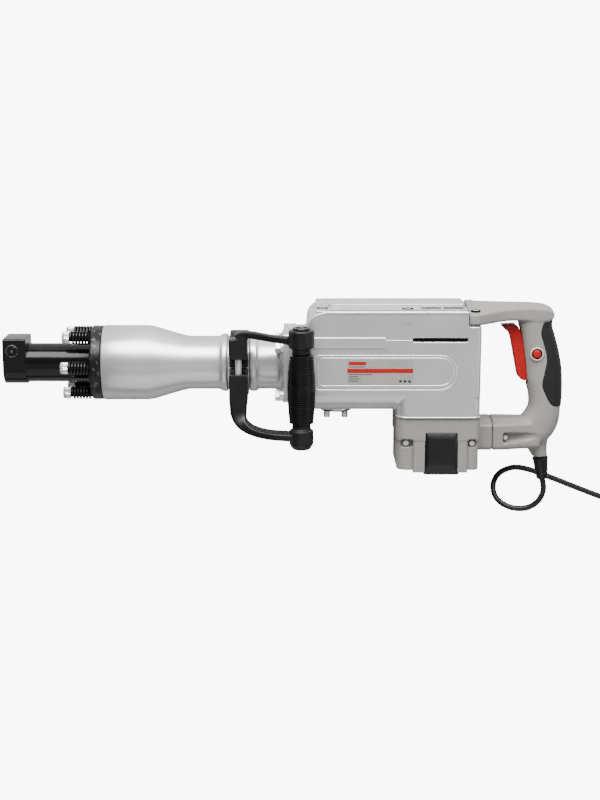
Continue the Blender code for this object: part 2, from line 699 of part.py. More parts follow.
def handle_outline():
    """Side view of the D: upper arm, grip and lower arm, with the hand opening on its left."""
    return rounded([
        (ARM_START, ARM_BOTTOM, 0.0), (0.6445, ARM_BOTTOM, 0.012), (0.6530, -0.010, 0.060),
        (0.6610, -0.046, 0.014), (0.655, LOWER_TOP, 0.014), (LOWER_SEAM + GAP, LOWER_TOP, 0.0),
        (LOWER_SEAM + GAP, LOWER_BOTTOM, 0.0), (0.655, LOWER_BOTTOM, 0.0),
        (0.6670, -0.1225, 0.003), (0.6872, -0.1200, 0.003), (0.6872, -0.1000, 0.0),
        (0.7005, -0.0850, 0.016), (0.7010, -0.0200, 0.060), (0.6850, 0.0480, 0.020),
        (0.6890, ARM_TOP, 0.020), (ARM_START, ARM_TOP, 0.0)])


def pad_outline(grow):
    """Side view of the rubber pad on the back of the grip, grown by a clearance."""
    return rounded([
        (0.6870, 0.0560 + grow, 0.002), (0.6715 - grow, 0.0500 + grow, 0.010),
        (0.6715 - grow, 0.0380, 0.010), (0.6805 - grow, 0.0060, 0.040),
        (0.6740 - grow, -0.0330, 0.022), (0.6860 - grow, -0.0535 - grow, 0.014),
        (LENGTH + grow, -0.0550 - grow, 0.002), (LENGTH + grow, -0.0200, 0.060),
        (0.6870 + grow, 0.0480, 0.020)])


def handle_half(name, side):
    """One clamshell of the rear handle: its side outline crossed with its plan outline."""
    split = GAP / 2
    span = sorted((side * split, side * (HALF_WIDTH + 0.001)))
    half = plate(name, [handle_outline()], span[0], span[1], "Z", "grey_plastic")
    plan = [(ARM_START - 0.002, side * HALF_WIDTH), (0.588, side * HALF_WIDTH),
            (0.614, side * 0.0365), (0.642, side * 0.0235), (0.660, side * GRIP_HALF),
            (0.690, side * GRIP_HALF), (0.7000, side * 0.0150), (0.7040, side * 0.0080),
            (0.7040, -side * 0.001), (ARM_START - 0.002, -side * 0.001)]
    shape = plate(name + "_plan", [plan], -0.14, 0.09, "Y")
    boolean(half, shape, "INTERSECT")
    return half


def pad_shape(name, grow, finish_name=None):
    """Rubber skin, U-shaped in plan, or the space it takes when grown by a clearance."""
    reach = 0.0207
    core = reach - 0.0030
    body = plate(name, [pad_outline(grow)], -reach - 5 * grow, reach + 5 * grow, "Z",
                 finish_name)
    back = plate(name + "_back", [[(0.655, -0.07), (0.6925, -0.07), (0.6975, -0.0300),
                                   (0.6940, 0.0000), (0.6800, 0.0480), (0.6800, 0.07),
                                   (0.655, 0.07)]],
                 -core + grow, core - grow, "Z")
    return cut(body, back)


def rear_handle():
    for name, side in (("handle_left", 1), ("handle_right", -1)):
        half = handle_half(name, side)
        inside = sorted((0.0, side * 0.0145))
        slot = sorted((-side * 0.001, side * 0.0092))
        cut(half, pad_shape(name + "_pad_cut", GAP))
        cut(half, box(name + "_cavity_cut", (0.6625, -0.022, inside[0]), (0.690, 0.046, inside[1])))
        cut(half, box(name + "_slot_cut", (0.625, -0.026, slot[0]), (0.664, 0.0520, slot[1])))
        cut(half, rod(name + "_cord_cut", at(0.6772, -0.112), "Y", 0.0068, -0.02, 0.02, sides=20))
        if side > 0:
            cut(half, rod("button_cut", at(BUTTON_S, BUTTON_Y), "Z", BUTTON_R + GAP, 0.010, 0.030,
                          sides=20))
    pad_shape("grip_pad", 0.0, "rubber")


def controls():
    """Trigger, lock button with its bezel, and the switch they work."""
    outline = [(0.6224, 0.0473), (0.6393, 0.0488), (0.6434, 0.0464), (0.6476, 0.0407),
               (0.6520, 0.0300), (0.6585, 0.0150), (0.6600, -0.0050), (0.6590, -0.0195),
               (0.6540, -0.0225), (0.6493, -0.0207), (0.6448, -0.0162), (0.6388, 0.0141),
               (0.6348, 0.0336), (0.6317, 0.0399), (0.6252, 0.0447)]
    plate("trigger", [outline], -0.0085, 0.0085, "Z", "red_plastic", 0.0012, 1)
    turned("lock_button", at(BUTTON_S, BUTTON_Y), "Z",
           [(0.0125, 0.0035), (0.0145, BUTTON_R), (0.0210, BUTTON_R), (0.0225, 0.0040)],
           finish_name="red_plastic", sides=20)
    turned("button_bezel", at(BUTTON_S, BUTTON_Y), "Z",
           [(GRIP_HALF + GAP, 0.0084), (0.0212, 0.0084), (0.0218, 0.0076)],
           [(GRIP_HALF + GAP, 0.0062), (0.0218, 0.0062)], "pale_plastic", 24)
    box("switch_body", (0.6690, -0.014, -0.0095), (0.6838, 0.026, 0.0095), "black_plastic",
        0.001, 1)


# Side handle

def bar_sections(stations):
    """Rectangular sections with trimmed corners along a bar that bends in side view."""
    sections = []
    last = len(stations) - 1
    for index, (s, y, z, thick, wide) in enumerate(stations):
        before = stations[max(index - 1, 0)]
        after = stations[min(index + 1, last)]
        along = Vector((after[0] - before[0], after[1] - before[1])).normalized()
        across = Vector((-along.y, along.x))
        trim = min(thick, wide) * 0.2
        ring = []
        for u, v in ((1, 1), (-1, 1), (-1, -1), (1, -1)):
            first = (u * (thick / 2 - trim), v * wide / 2)
            second = (u * thick / 2, v * (wide / 2 - trim))
            pair = (second, first) if u * v > 0 else (first, second)
            for offset, rise in pair:
                ring.append(at(s + across.x * offset, y + across.y * offset, z + rise))
        sections.append(ring)
    return sections


def clamp_half(name, upper):
    """Half band round the barrel, with its jaw, its arm and the boss at the grip."""
    sign = 1 if upper else -1
    band = turned(name, at(0), "X", [(CLAMP_START, CLAMP_R), (CLAMP_END, CLAMP_R)],
                  [(CLAMP_START, 0.0342), (CLAMP_END, 0.0342)], "black_paint", 32)
    keep = sorted((sign * 0.0006, sign * 0.06))
    half = box(name + "_half", (0.27, keep[0], -0.06), (0.32, keep[1], 0.06))
    boolean(band, half, "INTERSECT")
    jaw = sorted((0.0137, 0.0390) if upper else (-0.0053, -0.0400))
    cheek = box(name + "_jaw", (CLAMP_START, jaw[0], 0.036), (CLAMP_END, jaw[1], 0.060),
                bevel=0.0015, segments=1)
    fuse(band, cheek)
    if upper:
        stations = [(0.2945, 0.0370, 0.0520, 0.0220, 0.0150), (0.3020, 0.0430, 0.0530, 0.0110, 0.0150),
                    (0.3160, 0.0440, 0.0600, 0.0085, 0.0140), (0.3380, 0.0425, 0.0710, 0.0085, 0.0140),
                    (0.3700, 0.0410, 0.0815, 0.0090, 0.0160)]
        boss = [(0.0249, 0.0118), (0.0328, 0.0118), (0.0328, 0.0152), (0.0338, 0.0157),
                (0.0540, 0.0157), (SIDE_TOP, 0.0148)]
    else:
        stations = [(0.2951, -0.0380, 0.0480, 0.0225, 0.0240), (0.2951, -0.0530, 0.0500, 0.0210, 0.0240),
                    (0.2990, -0.0640, 0.0550, 0.0150, 0.0250), (0.3080, -0.0710, 0.0620, 0.0105, 0.0260),
                    (0.3220, -0.0750, 0.0690, 0.0090, 0.0260), (0.3400, -0.0765, 0.0760, 0.0085, 0.0260),
                    (0.3700, -0.0770, 0.0820, 0.0085, 0.0260)]
        boss = [(SIDE_BOTTOM, 0.0105), (-0.0860, 0.0149), (-0.0690, 0.0149), (-0.0682, 0.0142),
                (-0.0682, 0.0113), (-0.0604, 0.0113)]
    arm = loft(name + "_arm", bar_sections(stations))
    end = turned(name + "_boss", at(SIDE_S, 0, SIDE_Z), "Y", boss, sides=22)
    fuse(band, arm, end)
    jaw_bolt_s = 0.2952
    cut(band, rod(name + "_rod_cut", at(jaw_bolt_s, 0, 0.052), "Y", 0.004 + GAP,
                  -0.030 if not upper else 0.0, 0.0 if not upper else 0.034, sides=16))
    cut(band, rod(name + "_bolt_cut", at(SIDE_S, 0, SIDE_Z), "Y", SIDE_BOLT_R + GAP,
                  -0.089, 0.060, sides=16))
    weld(band)


def side_handle():
    clamp_half("clamp_upper", True)
    clamp_half("clamp_lower", False)
    rod("clamp_rod", at(0.2952, 0, 0.052), "Y", 0.004, -0.0295, 0.0335, "bright_steel", 16)
    top = 0.0245
    bottom = -0.0600
    spans = 6
    outer = []
    for step in range(spans + 1):
        share = step / spans
        outer.append((bottom + (top - bottom) * share,
                      0.0148 + 0.0026 * math.sin(math.pi * share)))
    turned("side_grip", at(SIDE_S, 0, SIDE_Z), "Y", outer,
           [(bottom, SIDE_BOLT_R + GAP), (top, SIDE_BOLT_R + GAP)], "rubber", 24)
    turned("grip_bolt", at(SIDE_S, 0, SIDE_Z), "Y",
           [(-0.0880, SIDE_BOLT_R), (SIDE_TOP + GAP, SIDE_BOLT_R), (SIDE_TOP + GAP, 0.0106),
            (0.0570, 0.0106), (0.0577, 0.0098)], finish_name="black_paint", sides=20)


# Supply cord

GUARD_TOP = (0.6770, -0.1180, 0.0)
GUARD_TIP = (0.6812, -0.1510, 0.0)
FLOOR_Z = CORD_R - AXIS_Z
CORD_ROUTE = [
    (0.6812, -0.1513, 0.0), (0.6834, -0.1640, -0.0004), (0.6812, -0.1751, -0.0014),
    (0.6747, -0.1850, -0.0030), (0.6648, -0.1915, -0.0052), (0.6537, -0.1937, -0.0080),
    (0.6430, -0.1929, -0.0113), (0.6325, -0.1888, -0.0160), (0.6249, -0.1817, -0.0222),
    (0.6222, -0.1717, -0.0288), (0.6249, -0.1617, -0.0352), (0.6325, -0.1541, -0.0410),
    (0.6430, -0.1503, -0.0460), (0.6535, -0.1495, FLOOR_Z + 0.0032),
    (0.6650, -0.1515, FLOOR_Z + 0.0008), (0.6800, -0.1560, FLOOR_Z), (0.7010, -0.1640, FLOOR_Z),
    (0.7320, -0.1765, FLOOR_Z), (0.7600, -0.1875, FLOOR_Z), (0.7830, -0.1962, FLOOR_Z)]
COIL_CENTRE = (0.8370, -0.1640)
PLUG_LENGTH = 0.046


def cord_guard():
    """Tapered strain relief that leads the cord out of the handle's spout."""
    top = at(*GUARD_TOP)
    tip = at(*GUARD_TIP)
    along = (tip - top).normalized()
    length = (tip - top).length
    profile = [(0.0, 0.0058), (0.006, 0.0058), (0.0060, 0.0085), (0.0100, 0.0085),
               (0.0240, 0.0072), (length, 0.0062)]
    guard = turned("cord_guard", top, "Z", profile, finish_name="black_plastic", sides=20)
    guard.matrix_world = Matrix.Translation(top) @ along.to_track_quat("Z", "Y").to_matrix().to_4x4()


def cord():
    route = smooth_path([at(*p) for p in CORD_ROUTE], 2)
    curve = bpy.data.curves.new("cord_lead", "CURVE")
    curve.dimensions = "3D"
    curve.bevel_depth = CORD_R
    curve.bevel_resolution = 2
    curve.use_fill_caps = True
    spline = curve.splines.new("POLY")
    spline.points.add(len(route) - 1)
    for point, place in zip(spline.points, route):
        point.co = (*place, 1.0)
    finish(bpy.data.objects.new("cord_lead", curve), "cord_rubber")
    floor = -AXIS_Z
    inner = COIL_R - COIL_HALF_WIDTH
    outer = COIL_R + COIL_HALF_WIDTH
    turned("cord_coil", at(COIL_CENTRE[0], COIL_CENTRE[1]), "Z",
           [(floor, outer), (floor + COIL_HEIGHT, outer)],
           [(floor, inner), (floor + COIL_HEIGHT, inner)], "cord_rubber", 40)


def plug():
    """Two-pin moulded plug lying beside the coil, its pins pointing along +Y."""
    start_y = COIL_CENTRE[1] + 0.0440
    middle_s = COIL_CENTRE[0] + COIL_R + 0.0075
    middle_z = 0.0126 - AXIS_Z
    body = turned("plug", at(middle_s, start_y, middle_z), "Y",
                  [(0.0, 0.0052), (0.016, 0.0085), (0.022, 0.0125), (PLUG_LENGTH - 0.002, 0.0125),
                   (PLUG_LENGTH, 0.0120)], finish_name="black_plastic", sides=24)
    for side in (1, -1):
        pin = rod("plug_pin", at(middle_s + side * 0.0085, start_y + PLUG_LENGTH, middle_z), "Y",
                  0.0022, -0.004, 0.019, sides=12)
        fuse(body, pin)


clear_scene()
parts = new_collection(NAME)
cutters = new_collection("cutters")
front_cover()
retaining_pin()
nose_bolts()
nose_springs()
barrel()
barrel_bolts()
striking_train()
crankcase()
case_covers()
crank_train()
motor()
motor_housing()
brush_covers()
rear_handle()
controls()
side_handle()
cord_guard()
cord()
plug()
bpy.context.view_layer.update()
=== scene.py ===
"""Looks of the demolition hammer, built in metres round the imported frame.

Stations (s) are distances from the nose face along +X, and y and z are measured from the barrel's
axis, as in the part's own script: at() turns them into scene places.
"""

import json
from math import atan2, copysign, cos, pi, radians, sin, sqrt, tan

import bmesh
import bpy
from mathutils import Matrix, Vector


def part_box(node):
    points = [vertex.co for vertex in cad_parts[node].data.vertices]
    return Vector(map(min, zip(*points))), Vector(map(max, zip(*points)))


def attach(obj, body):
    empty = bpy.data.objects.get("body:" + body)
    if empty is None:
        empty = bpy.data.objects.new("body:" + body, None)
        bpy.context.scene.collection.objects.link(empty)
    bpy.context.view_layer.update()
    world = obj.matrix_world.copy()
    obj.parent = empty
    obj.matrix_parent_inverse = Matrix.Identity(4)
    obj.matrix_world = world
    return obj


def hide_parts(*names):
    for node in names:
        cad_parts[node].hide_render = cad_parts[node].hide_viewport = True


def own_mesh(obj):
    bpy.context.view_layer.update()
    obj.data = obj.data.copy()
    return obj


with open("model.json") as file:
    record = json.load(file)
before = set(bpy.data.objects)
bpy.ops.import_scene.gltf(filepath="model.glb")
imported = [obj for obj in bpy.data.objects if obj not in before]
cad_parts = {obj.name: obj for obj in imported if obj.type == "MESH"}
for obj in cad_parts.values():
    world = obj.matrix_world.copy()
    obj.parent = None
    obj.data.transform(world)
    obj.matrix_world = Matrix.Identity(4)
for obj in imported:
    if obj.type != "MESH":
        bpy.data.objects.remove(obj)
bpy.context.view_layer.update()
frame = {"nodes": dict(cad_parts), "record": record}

NOSE_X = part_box("front_cover")[0].x
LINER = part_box("cylinder_liner")
AXIS_Y = (LINER[0].y + LINER[1].y) / 2
AXIS_Z = (LINER[0].z + LINER[1].z) / 2
FLOOR_Z = -AXIS_Z
GAP = 0.0003

# Camera: it looks at a point on the tool's mid-plane, tilted towards the top cover
VIEW_S = 0.371
VIEW_Y = -0.0488
VIEW_TILT = radians(12)
VIEW_DISTANCE = 2.029
LENS = 72

# Sizes shared by several pieces
TUBE_R = 0.0242
FLANGE_R = 0.0466
NOSE_BOLT_CIRCLE = 0.0405
NOSE_BOLTS = 6
SQUARE_HALF = 0.0436
CASE_HALF = 0.0552
CASE_FRONT = 0.379
CASE_REAR = 0.594
CASE_TOP = 0.072
CASE_BOTTOM = -0.06
BELLY_BOTTOM = -0.0542
NOTCH_S = 0.5777
LID_TOP = 0.0735
SUMP_S = 0.4163
BUTTON = (0.6668, 0.014)
SPRING_START = 0.0843
SPRING_END = 0.1099
SIDE_S = 0.3727
SIDE_Z = 0.082
CORD_R = 0.00375
SOCKET_WIDTH = 0.0304

AXES = {
    "X": Matrix.Rotation(pi / 2, 4, "Y"), "Y": Matrix.Rotation(-pi / 2, 4, "X"),
    "Z": Matrix.Identity(4), "-Y": Matrix.Rotation(pi / 2, 4, "X"),
    "-X": Matrix.Rotation(-pi / 2, 4, "Y"), "-Z": Matrix.Rotation(pi, 4, "X"),
}


def at(s, y=0.0, z=0.0):
    """Scene place of a station s and of offsets y and z from the barrel's axis."""
    return Vector((NOSE_X + s, AXIS_Y + y, AXIS_Z + z))


# Shapes, each added to a bmesh

def round_angles(count):
    """Angles evenly spaced round a circle."""
    return [2 * pi * i / count for i in range(count)]


def skin(bm, first, second):
    """Quads between two closed rings of vertices."""
    count = len(first)
    for i in range(count):
        j = (i + 1) % count
        bm.faces.new((first[i], first[j], second[j], second[i]))


def loft(bm, sections, loop=False):
    """Closed skin through rings of scene points, capped unless it loops."""
    rings = [[bm.verts.new(p) for p in section] for section in sections]
    for first, second in zip(rings, rings[1:]):
        skin(bm, first, second)
    if loop:
        skin(bm, rings[-1], rings[0])
    else:
        bm.faces.new(reversed(rings[0]))
        bm.faces.new(rings[-1])
    return bm


def lathe(bm, centre, axis, profile, sides=64, loop=False):
    """Turn (height, radius) points round an axis through centre."""
    place = Matrix.Translation(centre) @ AXES[axis]
    return loft(bm, [[place @ Vector((r * cos(a), r * sin(a), h)) for a in round_angles(sides)]
                     for h, r in profile], loop)


def block(bm, low, high):
    low = at(*low)
    high = at(*high)
    place = Matrix.Translation((low + high) / 2) @ Matrix.Diagonal((*(high - low), 1.0))
    bmesh.ops.create_cube(bm, size=1.0, matrix=place)
    return bm


def side_block(bm, side, start, end, y, z):
    """Block from start to end along s; y and z are pairs, and side -1 mirrors z."""
    low, high = sorted((side * z[0], side * z[1]))
    return block(bm, (start, y[0], low), (end, y[1], high))


def prism(bm, outline, low, high, axis="Z"):
    """Extrude an outline of (s, y) along Z, (s, z) along Y or (y, z) along X."""
    place = {"Z": lambda u, v, w: at(u, v, w), "Y": lambda u, v, w: at(u, w, v),
             "X": lambda u, v, w: at(w, u, v)}[axis]
    return loft(bm, [[place(u, v, w) for u, v in outline] for w in (low, high)])


def tube(bm, path, radius, sides=10, loop=False):
    """Round bar along scene points."""
    path = [Vector(p) for p in path]
    count = len(path)
    sections = []
    side = None
    for index, point in enumerate(path):
        ahead = path[(index + 1) % count] if loop else path[min(index + 1, count - 1)]
        behind = path[index - 1] if loop else path[max(index - 1, 0)]
        along = (ahead - behind).normalized()
        if side is None:
            side = along.orthogonal().normalized()
        side = (side - along * side.dot(along)).normalized()
        other = along.cross(side)
        sections.append([point + radius * (cos(a) * side + sin(a) * other)
                         for a in round_angles(sides)])
    return loft(bm, sections, loop)


def rounded(corners, steps=6):
    """Closed outline through (u, v, radius) corners, each one turned as an arc."""
    points = []
    for index, (u, v, radius) in enumerate(corners):
        corner = Vector((u, v))
        if not radius:
            points.append(corner)
            continue
        before = (Vector(corners[index - 1][:2]) - corner).normalized()
        after = (Vector(corners[(index + 1) % len(corners)][:2]) - corner).normalized()
        half = before.angle(after) / 2
        centre = corner + (before + after).normalized() * (radius / sin(half))
        first = corner + before * (radius / tan(half)) - centre
        last = corner + after * (radius / tan(half)) - centre
        sweep = atan2(first.cross(last), first.dot(last))
        points += [centre + Matrix.Rotation(sweep * step / steps, 2) @ first
                   for step in range(steps + 1)]
    return points


def hexagon(radius):
    return [(radius * cos(a), radius * sin(a))
            for a in (pi / 3 * i for i in range(6))]


def rectangle(low_u, low_v, high_u, high_v, radius, steps=6):
    return rounded([(low_u, low_v, radius), (high_u, low_v, radius),
                    (high_u, high_v, radius), (low_u, high_v, radius)], steps)


def smooth_path(points, per_span):
    """Points along a Catmull-Rom curve through the given points, ends included."""
    knots = [Vector(p) for p in points]
    knots = [2 * knots[0] - knots[1]] + knots + [2 * knots[-1] - knots[-2]]
    path = []
    for a, b, c, d in zip(knots, knots[1:], knots[2:], knots[3:]):
        for step in range(per_span):
            t = step / per_span
            path.append(0.5 * (2 * b + (c - a) * t + (2 * a - 5 * b + 4 * c - d) * t * t
                               + (3 * b - a - 3 * c + d) * t ** 3))
    return path + [knots[-2]]


def mirrored_z(bm):
    """Add the same shape on the other side of the tool's mid-plane."""
    copy = bm.copy()
    flip = Matrix.Translation((0, 0, AXIS_Z)) @ Matrix.Diagonal((1, 1, -1, 1))
    copy.transform(flip @ Matrix.Translation((0, 0, -AXIS_Z)))
    mesh = bpy.data.meshes.new("mirrored")
    copy.to_mesh(mesh)
    copy.free()
    bm.from_mesh(mesh)
    bpy.data.meshes.remove(mesh)
    return bm


# Pieces

def add(name, data):
    obj = bpy.data.objects.new(name, data)
    bpy.context.scene.collection.objects.link(obj)
    return obj


def helper(name, bm):
    """Plain object of a bmesh."""
    bmesh.ops.recalc_face_normals(bm, faces=bm.faces)
    mesh = bpy.data.meshes.new(name)
    bm.to_mesh(mesh)
    bm.free()
    return add(name, mesh)


def piece(name, bm, finish, body, sharp=35, replaces=(), bevel=0.0, segments=3):
    """Make an object of a bmesh: it rides a body and stands for the CAD nodes it replaces."""
    obj = helper(name, bm)
    obj.data.shade_smooth()
    obj.data.set_sharp_from_angle(angle=radians(sharp))
    if bevel:
        soften(obj, bevel, segments)
    return settle(obj, finish, body, replaces)


def fixed(name, bm, finish, *rest):
    """A piece that rides the housing."""
    return piece(name, bm, finish, "housing", *rest)


def soften(obj, width, segments=3):
    edge = obj.modifiers.new("Bevel", "BEVEL")
    edge.width = width
    edge.segments = segments
    edge.limit_method = "ANGLE"
    edge.angle_limit = radians(30)


def settle(obj, finish, body, replaces=()):
    obj.data.materials.append(FINISHES[finish])
    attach(obj, body)
    if replaces:
        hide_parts(*replaces)
    return obj


def cast(name, bm, finish, body, voxel, rounds, changes=(), replaces=()):
    """A cast or moulded piece: closed shapes melted into one, cut, then softened at the edges.

    changes are (bmesh, "DIFFERENCE" or "INTERSECT") pairs.
    """
    obj = helper(name, bm)
    tools = []
    for number, (tool_bm, operation) in enumerate([(None, None)] + list(changes)):
        if tool_bm:
            tool = helper("%s_tool_%d" % (name, number), tool_bm)
            tools.append(tool)
            step = obj.modifiers.new("Boolean", "BOOLEAN")
            step.operation = operation
            step.object = tool
        else:
            melt(obj, voxel)
    if tools:
        melt(obj, voxel)
    smooth = obj.modifiers.new("Smooth", "SMOOTH")
    smooth.factor = 0.5
    smooth.iterations = rounds
    bake(obj)
    for tool in tools:
        bpy.data.objects.remove(tool, do_unlink=True)
    return settle(obj, finish, body, replaces)


def melt(obj, voxel):
    step = obj.modifiers.new("Remesh", "REMESH")
    step.mode = "VOXEL"
    step.voxel_size = voxel


def bake(obj):
    """Apply all modifiers."""
    bpy.context.view_layer.update()
    evaluated = obj.evaluated_get(bpy.context.evaluated_depsgraph_get())
    mesh = bpy.data.meshes.new_from_object(evaluated)
    mesh.name = obj.name
    obj.modifiers.clear()
    obj.data = mesh
    mesh.shade_smooth()


# Finishes

def noise(nodes, links, coords, scale, detail=3.0):
    node = nodes.new("ShaderNodeTexNoise")
    node.inputs["Scale"].default_value = scale
    node.inputs["Detail"].default_value = detail
    links.new(coords.outputs["Object"], node.inputs["Vector"])
    return node.outputs["Fac"]


def ranged(nodes, links, value, low, high, start=0.3, end=0.7):
    node = nodes.new("ShaderNodeMapRange")
    for socket, number in (("From Min", start), ("From Max", end), ("To Min", low),
                           ("To Max", high)):
        node.inputs[socket].default_value = number
    links.new(value, node.inputs["Value"])
    return node.outputs["Result"]


def mixed(nodes, links, factor, first, second):
    node = nodes.new("ShaderNodeMix")
    node.data_type = "RGBA"
    links.new(factor, node.inputs["Factor"])
    for socket, colour in (("A", first), ("B", second)):
        if isinstance(colour, tuple):
            node.inputs[socket].default_value = (*colour, 1.0)
        else:
            links.new(colour, node.inputs[socket])
    return node.outputs["Result"]


def surface(name, dark, light, roughness, metallic, patch, grain, depth, bump, gloss=0.5,
            worn=None, stretch=None):
    """A finish: slow patches between two tones, a fine grain, and wear where worn gives a tone."""
    made = bpy.data.materials.new(name)
    made.use_nodes = True
    nodes = made.node_tree.nodes
    links = made.node_tree.links
    shader = nodes["Principled BSDF"]
    coords = nodes.new("ShaderNodeTexCoord")
    slow = noise(nodes, links, coords, patch)
    fine = noise(nodes, links, coords, grain, 2.0)
    if stretch:
        mapping = nodes.new("ShaderNodeMapping")
        mapping.inputs["Scale"].default_value = stretch
        links.new(coords.outputs["Object"], mapping.inputs["Vector"])
        links.new(mapping.outputs["Vector"], fine.node.inputs["Vector"])
    tone = mixed(nodes, links, ranged(nodes, links, slow, 0.0, 1.0), dark, light)
    flecks = mixed(nodes, links, ranged(nodes, links, fine, 0.0, 1.0, 0.25, 0.75), dark, light)
    blend = nodes.new("ShaderNodeMix")
    blend.data_type = "RGBA"
    blend.inputs["Factor"].default_value = 0.5
    links.new(tone, blend.inputs["A"])
    links.new(flecks, blend.inputs["B"])
    colour = blend.outputs["Result"]
    if worn:
        tone_worn, amount = worn
        rubbed = noise(nodes, links, coords, 190, 8.0)
        mask = ranged(nodes, links, rubbed, 0.0, 1.0, amount, amount + 0.06)
        colour = mixed(nodes, links, mask, colour, tone_worn)
    links.new(colour, shader.inputs["Base Color"])
    links.new(ranged(nodes, links, slow, roughness * 0.88, roughness * 1.12),
              shader.inputs["Roughness"])
    shader.inputs["Metallic"].default_value = metallic
    shader.inputs["Specular IOR Level"].default_value = gloss
    relief = nodes.new("ShaderNodeBump")
    relief.inputs["Strength"].default_value = bump
    relief.inputs["Distance"].default_value = depth
    links.new(fine, relief.inputs["Height"])
    links.new(relief.outputs["Normal"], shader.inputs["Normal"])
    return made


def grey(dark, light):
    return (dark, dark, dark), (light, light, light)


# Dark and light tone, roughness, metallic, patch and grain scale, grain depth and its strength
LOOKS = {
    "silver": (*grey(0.50, 0.62), 0.33, 0.78, 18, 1400, 0.00006, 0.22),
    # Next: a lighter copy of silver, painted highlight on the top edges, rims, beads, rails, spot
    # faces and sump cover
    "silver_painted_highlight": (*grey(0.76, 0.88), 0.24, 0.6, 30, 1200, 0.00004, 0.15),
    # Next: a darker copy of silver, painted shade on the small side mark
    "silver_painted_shade": (*grey(0.28, 0.38), 0.32, 0.5, 30, 1200, 0.00004, 0.15),
    "black_paint": (*grey(0.0016, 0.004), 0.16, 0.0, 40, 500, 0.00008, 0.2, 0.22),
    "black_worn": (*grey(0.002, 0.007), 0.34, 0.0, 60, 420, 0.0003, 0.5, 0.25,
                   ((0.07, 0.07, 0.07), 0.57)),
    "black_satin": ((0.0024, 0.0024, 0.0025), (0.006, 0.006, 0.0062), 0.38, 0.0, 35, 1100,
                    0.00006, 0.3, 0.28),
    "bright_dark": (*grey(0.04, 0.12), 0.30, 0.6, 80, 1400, 0.00003, 0.2),
    "bright_steel": ((0.60, 0.60, 0.59), (0.80, 0.80, 0.79), 0.34, 0.8, 60, 1600, 0.00003, 0.2),
    "gear_steel": ((0.30, 0.30, 0.31), (0.44, 0.44, 0.45), 0.34, 1.0, 45, 900, 0.00003, 0.2,
                   0.5, None, (1.0, 4.0, 1.0)),
    "spring_steel": (*grey(0.0016, 0.005), 0.22, 0.0, 90, 900, 0.00004, 0.3, 0.35),
    "grey_plastic": ((0.186, 0.178, 0.166), (0.221, 0.212, 0.198), 0.46, 0.0, 14, 1500,
                     0.00007, 0.35, 0.35),
    "black_plastic": ((0.003, 0.003, 0.0031), (0.007, 0.007, 0.0072), 0.32, 0.0, 26, 1500,
                      0.00005, 0.25, 0.3),
    "rubber": ((0.0045, 0.0048, 0.0048), (0.0085, 0.0088, 0.0088), 0.60, 0.0, 40, 1300,
               0.0001, 0.5, 0.25),
    "grip_rubber": (*grey(0.0016, 0.004), 0.28, 0.0, 40, 1300, 0.00005, 0.3, 0.3),
    "red_plastic": ((0.26, 0.0022, 0.0024), (0.32, 0.0038, 0.004), 0.34, 0.0, 25, 1300,
                    0.00003, 0.2, 0.3),
    "pale_plastic": ((0.42, 0.40, 0.38), (0.50, 0.48, 0.46), 0.42, 0.0, 30, 1300, 0.00004,
                     0.2, 0.4),
    "copper": ((0.42, 0.16, 0.07), (0.66, 0.28, 0.14), 0.34, 0.9, 60, 800, 0.0002, 0.5,
               0.5, None, (1.0, 0.15, 1.0)),
    "carbon": (*grey(0.015, 0.04), 0.7, 0.0, 80, 1200, 0.00005, 0.4),
    "cord_rubber": (*grey(0.003, 0.008), 0.40, 0.0, 50, 1100, 0.00006, 0.35, 0.35),
    "label": ((0.25, 0.243, 0.237), (0.32, 0.31, 0.302), 0.32, 0.3, 30, 1800, 0.00002, 0.15,
              0.5, None, (0.1, 1.0, 1.0)),
    # Next: print on the label, and painted shade in the cross slots of screw heads
    "ink_and_painted_shade": (*grey(0.01, 0.022), 0.5, 0.0, 90, 1500, 0.00002, 0.2, 0.2),
    # Next: near-black painted shade in slots, recesses, screw wells, the vent, the button's gap
    # and inside the springs; also the sump's dark gasket line
    "black_joints_and_painted_shade": (*grey(0.001, 0.002), 0.8, 0.0, 40, 900, 0.00004, 0.2, 0.1),
}
FINISHES = {name: surface(name, *look) for name, look in LOOKS.items()}

SLOTS = {name: name for name in LOOKS}
SLOTS.update({"silver": "silver_paint", "silver_painted_highlight": "silver_paint",
              "silver_painted_shade": "silver_paint", "bright_dark": "bright_steel",
              "black_worn": "black_paint", "black_satin": "black_paint",
              "grip_rubber": "rubber", "label": "pale_plastic", "ink_and_painted_shade": "black_plastic",
              "black_joints_and_painted_shade": "black_plastic"})


def paint_frame():
    """Give every CAD node the finish of its material slot, and round shading."""
    finish_of = {slot: finish for finish, slot in reversed(list(SLOTS.items()))}
    for entry in frame["record"]["subparts"]:
        obj = frame["nodes"][entry["node"]]
        obj.data.materials.clear()
        obj.data.materials.append(FINISHES[finish_of[entry["material_slot"]]])
        obj.data.shade_smooth()
        obj.data.set_sharp_from_angle(angle=radians(32))


# Stage

WHITE = (1.0, 1.0, 1.0, 1.0)
FLOOR_GLOW = 9.0
WORLD_GLOW = 0.20
KEY_POWER = 150
OVER_POWER = 4
LOW_POWER = 16
SIDE_POWER = 8
LIGHT_AIM = Vector((0.05, 0, 0.05))


def camera():
    target = at(VIEW_S, VIEW_Y)
    back = Vector((0, sin(VIEW_TILT), cos(VIEW_TILT)))
    data = bpy.data.cameras.new("camera")
    data.lens = LENS
    obj = add("camera", data)
    obj.location = target + back * VIEW_DISTANCE
    obj.rotation_euler = (-VIEW_TILT, 0, 0)
    bpy.context.scene.camera = obj


def area_light(name, place, size, power):
    data = bpy.data.lights.new(name, "AREA")
    data.shape = "RECTANGLE"
    data.size, data.size_y = size
    data.energy = power
    obj = add(name, data)
    obj.location = place
    obj.rotation_mode = "QUATERNION"
    obj.rotation_quaternion = (LIGHT_AIM - Vector(place)).to_track_quat("-Z", "Y")


